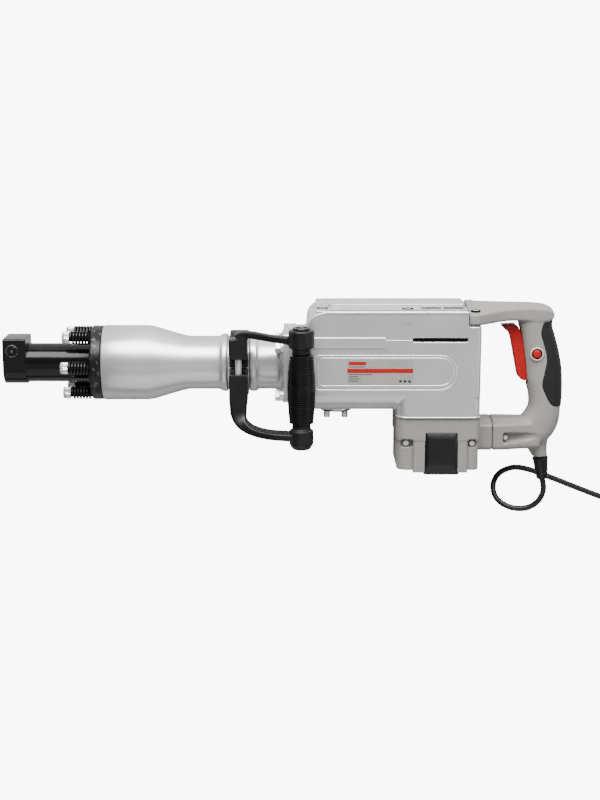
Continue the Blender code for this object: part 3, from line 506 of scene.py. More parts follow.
def white_when_seen(tree, lit, output, kind):
    """Join lit, and a white glow that only camera rays meet, to the tree's output."""
    nodes = tree.nodes
    glow = nodes.new(kind)
    glow.inputs["Color"].default_value = WHITE
    glow.inputs["Strength"].default_value = FLOOR_GLOW
    seen = nodes.new("ShaderNodeLightPath")
    blend = nodes.new("ShaderNodeMixShader")
    tree.links.new(seen.outputs["Is Camera Ray"], blend.inputs["Fac"])
    tree.links.new(lit.outputs[0], blend.inputs[1])
    tree.links.new(glow.outputs[0], blend.inputs[2])
    tree.links.new(blend.outputs["Shader"], nodes[output].inputs["Surface"])


def stage():
    """White floor and surround that don't tint what they show, and four long soft boxes."""
    bm = bmesh.new()
    bmesh.ops.create_grid(bm, x_segments=1, y_segments=1, size=6,
                          matrix=Matrix.Translation((0, 0, -GAP)))
    floor = helper("floor", bm)
    paper = bpy.data.materials.new("floor")
    paper.use_nodes = True
    shader = paper.node_tree.nodes["Principled BSDF"]
    shader.inputs["Base Color"].default_value = (0.50, 0.50, 0.50, 1.0)
    shader.inputs["Roughness"].default_value = 0.9
    white_when_seen(paper.node_tree, shader, "Material Output", "ShaderNodeEmission")
    floor.data.materials.append(paper)
    world = bpy.data.worlds.new("surround")
    bpy.context.scene.world = world
    world.use_nodes = True
    background = world.node_tree.nodes["Background"]
    background.inputs["Color"].default_value = WHITE
    background.inputs["Strength"].default_value = WORLD_GLOW
    white_when_seen(world.node_tree, background, "World Output", "ShaderNodeBackground")
    area_light("key", (0.05, 1.62, 1.05), (2.4, 1.15), KEY_POWER)
    area_light("over", (0.05, -0.35, 2.1), (2.4, 0.9), OVER_POWER)
    area_light("low", (0.05, -1.45, 1.15), (2.4, 1.7), LOW_POWER)
    area_light("side", (2.0, -0.1, 1.25), (0.7, 1.6), SIDE_POWER)


# Supply cord

FLOOR_CORD = FLOOR_Z + CORD_R
CORD_ROUTE = [
    (0.6812, -0.1513, 0.0), (0.6834, -0.164, -0.0004), (0.6812, -0.1751, -0.0014),
    (0.6747, -0.185, -0.003), (0.6648, -0.1915, -0.0052), (0.6537, -0.1937, -0.008),
    (0.643, -0.1929, -0.0113), (0.6325, -0.1888, -0.016), (0.6249, -0.1817, -0.0222),
    (0.6222, -0.1717, -0.0288), (0.6249, -0.1617, -0.0352), (0.6325, -0.1541, -0.041),
    (0.643, -0.1503, -0.046), (0.6535, -0.1495, FLOOR_CORD + 0.0032),
    (0.665, -0.1515, FLOOR_CORD + 0.0008), (0.68, -0.156, FLOOR_CORD),
    (0.701, -0.164, FLOOR_CORD), (0.732, -0.1765, FLOOR_CORD),
    (0.76, -0.1875, FLOOR_CORD), (0.783, -0.1962, FLOOR_CORD)]
COIL_CENTRE = (0.837, -0.164)
COIL_INNER = 0.0308
COIL_OUTER = 0.0541
COIL_ROW = 0.0076
COIL_ENTRY = radians(262)
COIL_TURNS = 3.0
COIL_HOLD = 0.3
COIL_TAIL_SHARE = 0.16
PLUG_BACK = (0.887, -0.1203, 0.0126 + FLOOR_Z)


def coil_points():
    """Three turns inwards, three outwards on top of them, and most of one more on top."""
    per_turn = 28
    reach = COIL_OUTER - COIL_INNER
    last = 1 - (2 * COIL_TURNS + 2 * COIL_HOLD + COIL_ENTRY / (2 * pi)) % 1
    tail = COIL_OUTER - reach * COIL_TAIL_SHARE
    legs = [(COIL_TURNS, COIL_OUTER, COIL_INNER, 0.0), (COIL_HOLD, COIL_INNER, COIL_INNER, 1.0),
            (COIL_TURNS, COIL_INNER, COIL_OUTER, 0.0), (COIL_HOLD, COIL_OUTER, COIL_OUTER, 1.0),
            (last, COIL_OUTER, tail, 0.0)]
    points = []
    turned = 0.0
    level = 0.0
    for turns, start, end, climb in legs:
        count = max(2, round(turns * per_turn))
        for i in range(count):
            share = i / count
            ease = share * share * (3 - 2 * share)
            angle = COIL_ENTRY + 2 * pi * (turned + turns * share)
            radius = start + (end - start) * share
            height = FLOOR_CORD + 0.0002 + COIL_ROW * (level + climb * ease)
            points.append(at(COIL_CENTRE[0] + radius * cos(angle),
                             COIL_CENTRE[1] + radius * sin(angle), height))
        turned += turns
        level += climb
    return points


def cord():
    lead = smooth_path([at(*p) for p in CORD_ROUTE], 4)
    coil = coil_points()
    end = at(*PLUG_BACK)
    approach = [end - Vector((0.0003, 0.018, -0.0022)), end]
    path = lead + smooth_path([lead[-1], coil[0]], 3)[1:-1] + coil
    path += smooth_path([coil[-1]] + approach, 4)[1:]
    curve = bpy.data.curves.new("cord", "CURVE")
    curve.dimensions = "3D"
    curve.bevel_depth = CORD_R
    curve.bevel_resolution = 4
    curve.use_fill_caps = True
    spline = curve.splines.new("POLY")
    spline.points.add(len(path) - 1)
    for point, place in zip(spline.points, path):
        point.co = (*place, 1.0)
    obj = add("cord", curve)
    settle(obj, "cord_rubber", "housing", ("cord_lead", "cord_coil"))
    cord_guard()
    plug = mains_plug()


def cord_guard():
    """Tapered sleeve with a collar and two shallow rings, leading the cord out of the spout."""
    top = at(0.677, -0.118)
    tip = at(0.6812, -0.151)
    length = (tip - top).length
    profile = [(0.0, 0.0055), (0.0045, 0.0055), (0.0047, 0.0098), (0.0062, 0.0102),
               (0.0074, 0.01), (0.0076, 0.0095), (0.009, 0.0094), (0.018, 0.0086),
               (0.0182, 0.0082), (0.0196, 0.0082), (0.0198, 0.0085), (0.024, 0.0081),
               (0.0242, 0.0077), (0.0256, 0.0077), (0.0258, 0.0079),
               (length - 0.001, 0.0073), (length, 0.006)]
    bm = lathe(bmesh.new(), Vector((0, 0, 0)), "Z", profile, 40)
    turn = (tip - top).to_track_quat("Z", "Y").to_matrix().to_4x4()
    bm.transform(Matrix.Translation(top) @ turn)
    return fixed("cord_sleeve", bm, "black_plastic", 40, ("cord_guard",))


def mains_plug():
    """Moulded two-pin plug with finger ribs."""
    middle = at(*PLUG_BACK)
    bm = bmesh.new()
    profile = [(0.0004, 0.0046), (0.003, 0.0056), (0.016, 0.0082), (0.02, 0.0112)]
    for ridge in range(4):
        start = 0.0215 + ridge * 0.0042
        profile += [(start, 0.0122), (start + 0.0024, 0.0122), (start + 0.0028, 0.0112),
                    (start + 0.004, 0.0112)]
    profile += [(0.04, 0.0122), (0.045, 0.0122), (0.046, 0.0114)]
    lathe(bm, middle, "Y", profile, 40)
    body = fixed("plug_body", bm, "black_plastic", 40, ("plug",))
    pins = bmesh.new()
    for side in (1, -1):
        foot = middle + Vector((side * 0.0085, 0.0455, 0))
        lathe(pins, foot, "Y", [(0.0, 0.0022), (0.018, 0.0022), (0.0192, 0.0012)], 16)
    metal = fixed("plug_pins", pins, "bright_steel", 40)
    metal.parent = body
    metal.matrix_parent_inverse = body.matrix_world.inverted()
    return body


# Front end

def ring_places(count, radius):
    return [(radius * sin(a), radius * cos(a)) for a in round_angles(count)]


def tool_holder():
    """Square block with the hexagon socket, the tube behind it and the worn flange."""
    block_outline = rounded([(0.033, -0.0235, 0.0025), (0.033, 0.0235, 0.0025),
                             (-0.0258, 0.0235, 0.0205), (-0.0258, -0.0235, 0.0205)], 10)
    bm = prism(bmesh.new(), block_outline, 0.0, 0.0292, "X")
    corners = [(y, z) for z, y in hexagon(SOCKET_WIDTH / sqrt(3))]
    socket = prism(bmesh.new(), corners, -0.002, 0.027, "X")
    obj = helper("holder_block", bm)
    tool = helper("socket_tool", socket)
    step = obj.modifiers.new("Boolean", "BOOLEAN")
    step.object = tool
    bake(obj)
    bpy.data.objects.remove(tool, do_unlink=True)
    obj.data.set_sharp_from_angle(angle=radians(30))
    soften(obj, 0.0011)
    settle(obj, "black_paint", "nose", ("front_cover",))
    hollow = 0.0176
    neck = lathe(bmesh.new(), at(0), "X",
                 [(0.0262, hollow), (0.0262, TUBE_R), (0.03, TUBE_R), (0.107, TUBE_R),
                  (0.1092, 0.025), (0.1104, 0.0268), (0.1104, hollow)], 96, True)
    piece("holder_tube", neck, "black_paint", "nose")
    flange = lathe(bmesh.new(), at(0), "X",
                   [(0.1102, hollow), (0.1102, 0.0446), (0.1107, 0.0456), (0.1118, 0.0464),
                    (0.113, FLANGE_R), (0.1228, FLANGE_R), (0.124, 0.0457), (0.124, hollow)],
                   96, True)
    piece("holder_flange", flange, "black_worn", "nose")


def pin_ends():
    """Heads of the cross pin: a dished disc with a hexagon recess, held by a spring ring."""
    for name, side, axis in (("near", 1, "Z"), ("far", -1, "-Z")):
        centre = at(0.0122, 0.0183, side * 0.0235)
        bm = lathe(bmesh.new(), centre, axis,
                   [(0.0, 0.0064), (0.0014, 0.0064), (0.002, 0.0058), (0.002, 0.0046),
                    (0.0015, 0.0042), (0.0015, 0.0022), (0.0004, 0.0018), (0.0004, 0.0003)], 40)
        piece("pin_head_" + name, bm, "black_paint", "pin")
        ring = [centre + Vector((0.0072 * cos(a), 0.0072 * sin(a), side * 0.0003))
                for a in (radians(20 + 320 * i / 30) for i in range(31))]
        piece("pin_ring_" + name, tube(bmesh.new(), ring, 0.0008, 8), "bright_dark", "nose")


def knurled_screws():
    """Socket screws through the springs: knurled heads with a near-black hexagon as painted shade
    in the recess, and near-black sleeves as painted shade inside the springs.
    """
    teeth = 30
    for number, (y, z) in enumerate(ring_places(NOSE_BOLTS, NOSE_BOLT_CIRCLE), 1):
        place = at(0, y, z)
        bm = bmesh.new()
        heights = [(0.0748, 0.88), (0.0755, 0.97), (0.08, 1.0), (0.0832, 1.0), (0.084, 0.95)]
        rings = []
        for height, share in heights:
            ring = []
            for i in range(teeth * 2):
                angle = pi * i / teeth
                radius = (0.0073 if i % 2 else 0.0069) * share
                ring.append(place + Vector((height, radius * cos(angle),
                                            radius * sin(angle))))
            rings.append(ring)
        loft(bm, rings)
        # Near-black sleeve inside each spring: painted shade between the coils
        sleeve = lathe(bmesh.new(), place, "X", [(0.0838, 0.0053), (0.1103, 0.0053)], 24)
        fixed("nose_sleeve_%d" % number, sleeve, "black_joints_and_painted_shade")
        fixed("nose_screw_%d" % number, bm, "bright_steel", 40, ("nose_bolt_%d" % number,))
        # Thin near-black hexagon on the head: painted shade in the socket
        recess = prism(bmesh.new(), [(y + u, z + v) for u, v in hexagon(0.0034)],
                       0.0746, 0.0752, "X")
        fixed("nose_recess_%d" % number, recess, "black_joints_and_painted_shade")


def coil_springs():
    """Round-wire springs round the nose screws, each with a mesh of its own."""
    wire = 0.0013
    turns = 6.0
    per_turn = 26
    start = SPRING_START + wire
    end = SPRING_END - wire
    count = int(turns * per_turn)
    for number, (y, z) in enumerate(ring_places(NOSE_BOLTS, NOSE_BOLT_CIRCLE), 1):
        path = []
        for i in range(count + 1):
            angle = 2 * pi * i / per_turn
            path.append(at(start + (end - start) * i / count, y + 0.00705 * sin(angle),
                           z + 0.00705 * cos(angle)))
        obj = fixed("coil_spring_%d" % number, tube(bmesh.new(), path, wire, 10),
                    "spring_steel", 60, ("nose_spring_%d" % number,))
        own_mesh(obj)


def barrel_body():
    """Turned casting with soft steps, its square flange and the four flange bolts."""
    outer = [(0.1245, 0.0452), (0.1248, 0.0464), (0.1258, 0.047), (0.17, 0.047),
             (0.178, 0.04695), (0.184, 0.0466), (0.19, 0.0454), (0.20, 0.0424),
             (0.213, 0.0385), (0.223, 0.0356), (0.23, 0.034), (0.236, 0.0335),
             (0.265, 0.0335), (0.27, 0.0338), (0.2722, 0.0348), (0.2738, 0.036),
             (0.2755, 0.0364), (0.279, 0.0364), (0.2803, 0.0359), (0.2808, 0.0345),
             (0.2812, 0.0338), (0.3074, 0.0338), (0.3078, 0.0346), (0.3084, 0.0359),
             (0.3098, 0.0364), (0.315, 0.0364), (0.3167, 0.0359), (0.3182, 0.0344),
             (0.32, 0.0335), (0.333, 0.0334), (0.34, 0.0338), (0.3445, 0.0349),
             (0.3475, 0.037), (0.3493, 0.04), (0.35, 0.043), (0.351, 0.043)]
    inner = [(0.351, 0.0275), (0.196, 0.0275), (0.196, 0.02), (0.15, 0.02),
             (0.15, 0.033), (0.1245, 0.033)]
    bm = lathe(bmesh.new(), at(0), "X", outer + inner, 128, True)
    fixed("barrel_casting", bm, "silver", 50, ("barrel",))
    square_flange("flange_front", 0.3503, 0.358)
    bright = bmesh.new()
    for number, (y, z) in enumerate([(a, b) for a in (0.025, -0.036) for b in (0.034, -0.034)], 1):
        screw = hex_bolt(bmesh.new(), at(0.3503, y, z), "-X", 0.0072, 0.0068)
        fixed("flange_screw_%d" % number, screw, "bright_steel", 30,
              ("barrel_bolt_%d" % number,))
        lathe(bright, at(0, y, z), "X", [(0.3492, 0.0086), (0.3504, 0.0088)], 32)
    # Light silver rings under the screw heads: painted highlight on the spot faces
    fixed("flange_spot_faces", bright, "silver_painted_highlight")


def hex_bolt(bm, foot, axis, across, height):
    """Hexagon head with a turned crown, over a split spring washer and a plain washer."""
    place = Matrix.Translation(foot) @ AXES[axis]
    lathe(bm, foot, axis, [(0.0002, across * 1.06), (0.0012, across * 1.06)], 32)
    lathe(bm, foot, axis, [(0.0014, across * 0.98), (0.0034, across * 0.98)], 32)
    rings = []
    for rise, share in ((0.0036, 0.96), (0.0041, 1.0), (height + 0.0026, 1.0),
                        (height + 0.0036, 0.88)):
        rings.append([place @ Vector((*corner, rise)) for corner in hexagon(across * share)])
    return loft(bm, rings)


# Middle

def plan(start, end, half, front, rear, steps=10):
    """Outline (s, z) of the case or motor from above, with front and rear corner radii."""
    return rounded([(start, -half, front), (end, -half, rear), (end, half, rear),
                    (start, half, front)], steps)


def square_flange(name, start, end):
    outline = rectangle(-SQUARE_HALF, -SQUARE_HALF, SQUARE_HALF, SQUARE_HALF, 0.006)
    fixed(name, prism(bmesh.new(), outline, start, end, "X"), "silver", 30, (), 0.0008)


def case_casting():
    """Crank case with its rounded belly, neck, square flange and vent slot."""
    bm = bmesh.new()
    half = CASE_HALF - 0.0001
    upper = rounded([(CASE_FRONT, -0.033, 0.0), (CASE_REAR, -0.033, 0.0),
                     (CASE_REAR, 0.0545, 0.0), (NOTCH_S, 0.0545, 0.0),
                     (NOTCH_S, CASE_TOP, 0.0), (CASE_FRONT, CASE_TOP, 0.022)], 12)
    prism(bm, upper, -half, half, "Z")
    belly = rounded([(BELLY_BOTTOM, -half, 0.029), (BELLY_BOTTOM, half, 0.029),
                     (-0.02, half, 0.0), (-0.02, -half, 0.0)], 14)
    prism(bm, belly, CASE_FRONT, 0.50, "X")
    prism(bm, plan(0.4905, CASE_REAR, half, 0.014, 0.009), CASE_BOTTOM, -0.02, "Y")
    block(bm, (0.364, -0.042, -0.042), (CASE_FRONT + 0.004, 0.042, 0.042))
    corner = bmesh.new()
    prism(corner, plan(0.35, CASE_REAR, 0.0569, 0.0, 0.009, 8), -0.09, 0.09, "Y")
    cuts = bmesh.new()
    for side in (1, -1):
        side_block(cuts, side, 0.509, 0.577, (0.0352, 0.0402), (0.05, 0.06))
    cast("case_casting", bm, "silver", "housing", 0.0013, 5,
         ((corner, "INTERSECT"), (cuts, "DIFFERENCE")), ("crankcase",))
    square_flange("flange_rear", 0.3583, 0.366)
    # Near-black block inside the vent slot: painted shade
    gap = bmesh.new()
    block(gap, (0.5095, 0.0356, 0.0515), (0.5765, 0.0398, 0.0523))
    fixed("vent_painted_shade", mirrored_z(gap), "black_joints_and_painted_shade")


def case_beads():
    """Cast details on the case's sides: the bar, the racetrack beads and the parting line."""
    bar = bmesh.new()
    outline = rectangle(0.386, 0.0284, 0.476, 0.0409, 0.0012)
    prism(bar, outline, CASE_HALF - 0.001, CASE_HALF + 0.0018, "Z")
    fixed("side_bar", mirrored_z(bar), "silver", 30, (), 0.0007)
    # The beads and parting line are drawn in lighter silver: painted highlight
    beads = bmesh.new()
    for low_y, high_y, start, end in ((-0.0247, 0.0186, 0.389, 0.564),
                                      (-0.0193, 0.0153, 0.3935, 0.56)):
        radius = (high_y - low_y) / 2
        track = rounded([(start, low_y, 0.006), (end, low_y, radius - 0.0001),
                         (end, high_y, radius - 0.0001), (start, high_y, 0.006)], 16)
        tube(beads, [at(s, y, CASE_HALF - 0.0002) for s, y in track], 0.00055, 8, True)
    line = [at(0.476, 0.0372, CASE_HALF - 0.0004), at(0.5085, 0.0372, CASE_HALF - 0.0004)]
    tube(beads, line, 0.0006, 8)
    fixed("side_beads", mirrored_z(beads), "silver_painted_highlight", 60)
    # Light silver tubes along the bar's edges: painted highlight lines
    rails = bmesh.new()
    for y in (0.029, 0.0403):
        tube(rails, [at(0.387, y, CASE_HALF + 0.001), at(0.4755, y, CASE_HALF + 0.001)],
             0.0008, 8)
    fixed("bar_rail_highlights", mirrored_z(rails), "silver_painted_highlight", 60)
    # Small darker silver block: painted shade
    mark = block(bmesh.new(), (0.50, 0.0575, CASE_HALF - 0.001),
                 (0.508, 0.059, CASE_HALF + 0.0002))
    fixed("side_shade_mark", mirrored_z(mark), "silver_painted_shade")


def top_lid():
    """Lid with its raised rib, slots and screws; near-black blocks in the slots and side seams are
    painted shade, and light tubes along the case's top edges are painted highlight.
    """
    lid = bmesh.new()
    prism(lid, rectangle(0.3905, -0.0535, NOTCH_S - GAP, 0.0535, 0.003), 0.0715, LID_TOP, "Y")
    fixed("lid_plate", lid, "silver", 30, ("top_cover",), 0.0009)
    rib = bmesh.new()
    outline = rounded([(0.406, -0.023, 0.018), (0.5768, -0.023, 0.004),
                       (0.5768, 0.015, 0.004), (0.406, 0.015, 0.008)], 10)
    prism(rib, outline, 0.073, 0.0762, "Y")
    fixed("lid_rib", rib, "silver", 30, (), 0.0008)
    # Near-black blocks in the two slots and along the lid's side seams: painted shade
    slots = bmesh.new()
    for start, end in ((0.52, 0.545), (0.548, 0.573)):
        block(slots, (start, 0.0733, 0.026), (end, 0.0739, 0.034))
    for z in (0.05, -0.0525):
        block(slots, (0.401, 0.0733, z), (NOTCH_S - 0.001, 0.0737, z + 0.0028))
    fixed("lid_slot_shade", slots, "black_joints_and_painted_shade")
    for number, (s, z) in enumerate(((0.3985, 0.03), (0.5036, 0.035)), 1):
        countersunk("lid_screw_%d" % number, at(s, LID_TOP, z), "Y", 0.0068)
    # Thin light tubes along the case's top edges: painted highlight
    edge = bmesh.new()
    for z in (0.0553, -0.0553):
        tube(edge, [at(0.401, CASE_TOP - 0.0004, z), at(NOTCH_S - 0.0005, CASE_TOP - 0.0004, z)],
             0.001, 10)
    fixed("edge_painted_highlight", edge, "silver_painted_highlight", 60)


def countersunk(name, place, axis, radius):
    """Screw head in a near-black well, painted shade of its recess, with a near-black cross,
    painted shade of its slot.
    """
    # Near-black well round the head: painted shade of the recess
    well = lathe(bmesh.new(), place, axis,
                 [(-0.0006, radius * 0.62), (-0.0006, radius * 1.05), (0.0005, radius * 1.05),
                  (0.0005, radius * 0.72), (-0.0002, radius * 0.62)], 32, True)
    fixed(name + "_shade_well", well, "black_joints_and_painted_shade")
    head = bmesh.new()
    lathe(head, place, axis, [(-0.0004, radius * 0.64), (0.0004, radius * 0.60),
                              (0.0008, radius * 0.40), (0.0009, radius * 0.05)], 28)
    fixed(name, head, "bright_steel", 50)
    # Near-black cross on the head: painted shade of the slot
    cross = bmesh.new()
    turn = Matrix.Translation(place) @ AXES[axis]
    for long_x, long_y in ((0.62, 0.16), (0.16, 0.62)):
        scale = Matrix.Diagonal((radius * long_x, radius * long_y, 0.0005, 1))
        bmesh.ops.create_cube(cross, size=1.0, matrix=turn @ Matrix.Translation((0, 0, 0.0008))
                              @ scale)
    fixed(name + "_cross_shade", cross, "ink_and_painted_shade")


def label():
    """Plain rating plate: a red stripe, a red bar and short plain lines in place of print."""
    face = CASE_HALF
    plate = prism(bmesh.new(), rectangle(0.429, -0.0173, 0.51, 0.013, 0.0045), face - 0.0004,
                  face + 0.0003, "Z")
    fixed("label_plate", plate, "label", 30)
    stripe = bmesh.new()
    block(stripe, (0.429, -0.0031, face + 0.0001), (0.51, 0.0021, face + 0.00045))
    block(stripe, (0.4308, 0.0068, face + 0.0001), (0.452, 0.0108, face + 0.00045))
    fixed("label_stripe", stripe, "red_plastic")
    lines = bmesh.new()
    for row, length in enumerate((0.029, 0.012, 0.015, 0.012)):
        y = -0.0056 - row * 0.0027
        block(lines, (0.4308, y, face + 0.0001), (0.4308 + length, y + 0.0008, face + 0.0004))
    for start in (0.493, 0.4985, 0.504):
        block(lines, (start, -0.015, face + 0.0001), (start + 0.0032, -0.0122, face + 0.0004))
    block(lines, (0.431, 0.0041, face + 0.0001), (0.451, 0.0049, face + 0.0004))
    fixed("label_lines", lines, "ink_and_painted_shade")


def grease_cap():
    """Round cover under the sump, with its gasket line and two bolts."""
    # The cover is drawn in lighter silver: painted highlight
    bm = lathe(bmesh.new(), at(SUMP_S), "-Y",
               [(0.053, 0.0196), (0.056, 0.0202), (0.0584, 0.0202), (0.0596, 0.019),
                (0.0608, 0.012), (0.0608, 0.0005)], 64)
    fixed("sump_cover", bm, "silver_painted_highlight", 40, ("grease_cover",))
    seal = lathe(bmesh.new(), at(SUMP_S), "-Y",
                 [(0.0583, 0.0196), (0.0585, 0.0206), (0.0593, 0.0206), (0.06, 0.0196)], 64)
    fixed("sump_seal", seal, "black_joints_and_painted_shade")
    for number, s in enumerate((0.405, 0.4276), 1):
        bolt = hex_bolt(bmesh.new(), at(s, -0.0606, 0.0), "-Y", 0.0042, 0.0066)
        fixed("sump_bolt_%d" % number, bolt, "bright_steel", 30)


# Motor

LOWER_TOP = -0.0697
LOWER_SHOULDER = -0.0748
LOWER_BOTTOM = -0.108


def lower_arm_section(half):
    """Cross-section (y, z) of the lower arm: a crowned top over flat sides."""
    return rounded([(LOWER_BOTTOM, -half, 0.006), (LOWER_SHOULDER, -half, 0.003),
                    (LOWER_TOP, -half * 0.45, 0.004), (LOWER_TOP, half * 0.45, 0.004),
                    (LOWER_SHOULDER, half, 0.003), (LOWER_BOTTOM, half, 0.006)], 4)


def motor_bell():
    """Moulded bell: round corners, set-back columns with the screws over them, and fins."""
    bm = bmesh.new()
    prism(bm, plan(0.4905, 0.5945, 0.0535, 0.014, 0.009), -0.0905, CASE_BOTTOM - GAP, "Y")
    prism(bm, plan(0.4915, 0.5935, 0.049, 0.012, 0.007, 8), -0.1282, -0.088, "Y")
    prism(bm, lower_arm_section(0.03), 0.594, 0.6122, "X")
    notches = bmesh.new()
    fins = bmesh.new()
    for side in (1, -1):
        for start, end in ((0.4965, 0.5112), (0.5798, 0.5892)):
            side_block(notches, side, start, end, (-0.0985, -0.088), (0.044, 0.056))
        for number in range(5):
            depth = (0.04 - number * 0.007, 0.0372 - number * 0.007)
            side_block(fins, side, 0.489, 0.4945, (-0.1245, -0.0905), depth)
            side_block(fins, side, 0.5892, 0.596, (-0.1225, -0.11), depth)
        for number in range(2):
            start = 0.4985 + number * 0.0045
            side_block(fins, side, start, start + 0.0016, (-0.1235, -0.1015), (0.0474, 0.051))
    cast("motor_bell", bm, "grey_plastic", "housing", 0.0011, 3,
         ((notches, "DIFFERENCE"), (fins, "DIFFERENCE")), ("motor_housing",))
    middle = rectangle(0.5114, -0.053, 0.5796, 0.053, 0.003)
    fixed("motor_middle", prism(bmesh.new(), middle, -0.1305, -0.0886, "Y"), "grey_plastic", 30,
          (), 0.0012)
    for number, (s, y, side) in enumerate([(s, y, side) for s, y in ((0.503, -0.093),
                                           (0.585, -0.0935)) for side in (1, -1)], 1):
        axis = "Z" if side > 0 else "-Z"
        head = lathe(bmesh.new(), at(s, y, side * 0.044), axis,
                     [(0.0, 0.004), (0.0036, 0.004), (0.0048, 0.003), (0.005, 0.0004)], 28)
        fixed("motor_screw_%d" % number, head, "bright_steel", 40)
    # Light silver rim at the foot of the case: painted highlight line
    rim = prism(bmesh.new(), plan(0.49, 0.5945, 0.056, 0.015, 0.009), CASE_BOTTOM - 0.0002,
                CASE_BOTTOM + 0.0012, "Y")
    fixed("case_rim", rim, "silver_painted_highlight", 30, (), 0.0005)


def brush_lids():
    """Faceted lids over the brushes, with a plain raised field."""
    low_s, high_s, low_y, high_y = 0.5245, 0.5688, -0.133, -0.0768
    for name, side in (("left", 1), ("right", -1)):
        bm = bmesh.new()
        sections = []
        for z, side_inset, top_inset in ((0.05, 0.0, 0.0), (0.0524, 0.0, 0.0),
                                         (0.053, 0.0016, 0.0008), (0.0566, 0.0052, 0.0088),
                                         (0.0569, 0.006, 0.0098)):
            outline = rectangle(low_s + side_inset, low_y + top_inset * 1.4,
                                high_s - side_inset, high_y - top_inset, 0.002, 4)
            sections.append([at(s, y, side * z) for s, y in outline])
        loft(bm, sections)
        fixed("brush_lid_" + name, bm, "black_plastic", 20, ("brush_cover_" + name,), 0.0003, 2)


# Rear handle

def egg(y, front, rear, half, count=40, power=2.4):
    """Closed section of the grip at height y: a rounded oblong from front to rear."""
    middle = (front + rear) / 2
    reach = (rear - front) / 2
    points = []
    for a in round_angles(count):
        u = copysign(abs(cos(a)) ** (2 / power), cos(a))
        v = copysign(abs(sin(a)) ** (2 / power), sin(a))
        points.append(at(middle + reach * u, y, half * v))
    return points


GRIP_SECTIONS = [
    (0.066, 0.638, 0.688, 0.0175), (0.056, 0.641, 0.6872, 0.019),
    (0.047, 0.644, 0.6866, 0.0192), (0.036, 0.647, 0.69, 0.0192),
    (0.018, 0.65, 0.6952, 0.0194), (-0.0026, 0.6528, 0.6995, 0.0196),
    (-0.019, 0.6545, 0.701, 0.0198), (-0.0396, 0.6595, 0.7014, 0.0198),
    (-0.055, 0.66, 0.7008, 0.02), (-0.067, 0.653, 0.7004, 0.0204),
    (-0.078, 0.644, 0.6984, 0.0208), (-0.089, 0.642, 0.6938, 0.0206),
    (-0.0963, 0.643, 0.6884, 0.019), (-0.1013, 0.646, 0.684, 0.0165)]


def grip_loft(grow=0.0):
    bm = bmesh.new()
    sections = smooth_path([Vector((y, front, rear)) for y, front, rear, _ in GRIP_SECTIONS], 3)
    halves = smooth_path([Vector((half, 0, 0)) for *_, half in GRIP_SECTIONS], 3)
    return loft(bm, [egg(y, front - grow, rear + grow, half.x + grow)
                     for (y, front, rear), half in zip(sections, halves)])


PAD_OUTLINE = [(0.6868, 0.06, 0.002), (0.674, 0.054, 0.008), (0.6705, 0.04, 0.01),
               (0.6805, 0.008, 0.04), (0.6735, -0.027, 0.022), (0.686, -0.053, 0.016),
               (0.71, -0.0555, 0.002), (0.71, 0.06, 0.002)]


def arm_section(s, half, shoulder, crown, bottom):
    """Cross-section of the upper arm: flat below, flanks rising to a crown."""
    shape = [(bottom, -half * 0.92), (bottom + 0.002, -half), (shoulder, -half),
             (shoulder + (crown - shoulder) * 0.45, -half * 0.62), (crown, -half * 0.22),
             (crown, half * 0.22), (shoulder + (crown - shoulder) * 0.45, half * 0.62),
             (shoulder, half), (bottom + 0.002, half), (bottom, half * 0.92)]
    return [at(s, y, z) for y, z in shape]


def handle_shape():
    bm = grip_loft()
    upper = [(0.5782, 0.056, 0.0685, 0.0768, 0.0548), (0.59, 0.0558, 0.0688, 0.0769, 0.0548),
             (0.601, 0.047, 0.0692, 0.0769, 0.055), (0.614, 0.036, 0.0697, 0.0769, 0.0556),
             (0.628, 0.0272, 0.0704, 0.0768, 0.0562), (0.642, 0.0225, 0.0711, 0.0768, 0.056),
             (0.66, 0.0203, 0.0716, 0.0764, 0.0545), (0.672, 0.0198, 0.0708, 0.0753, 0.0535),
             (0.68, 0.0188, 0.069, 0.0732, 0.0545), (0.6855, 0.0168, 0.0664, 0.07, 0.056),
             (0.6885, 0.0135, 0.064, 0.066, 0.059)]
    loft(bm, [arm_section(*section) for section in upper])
    lower = [(0.6128, 0.03), (0.63, 0.029), (0.648, 0.024), (0.662, 0.0212), (0.674, 0.019)]
    loft(bm, [[at(s, y, z) for y, z in lower_arm_section(half)] for s, half in lower])
    spout = [(-0.09, 0.652, 0.688, 0.015), (-0.105, 0.656, 0.6862, 0.013),
             (-0.113, 0.662, 0.6858, 0.0115), (-0.1215, 0.6672, 0.6868, 0.01)]
    loft(bm, [egg(y, front, rear, half, 40, 2.0) for y, front, rear, half in spout])
    return bm


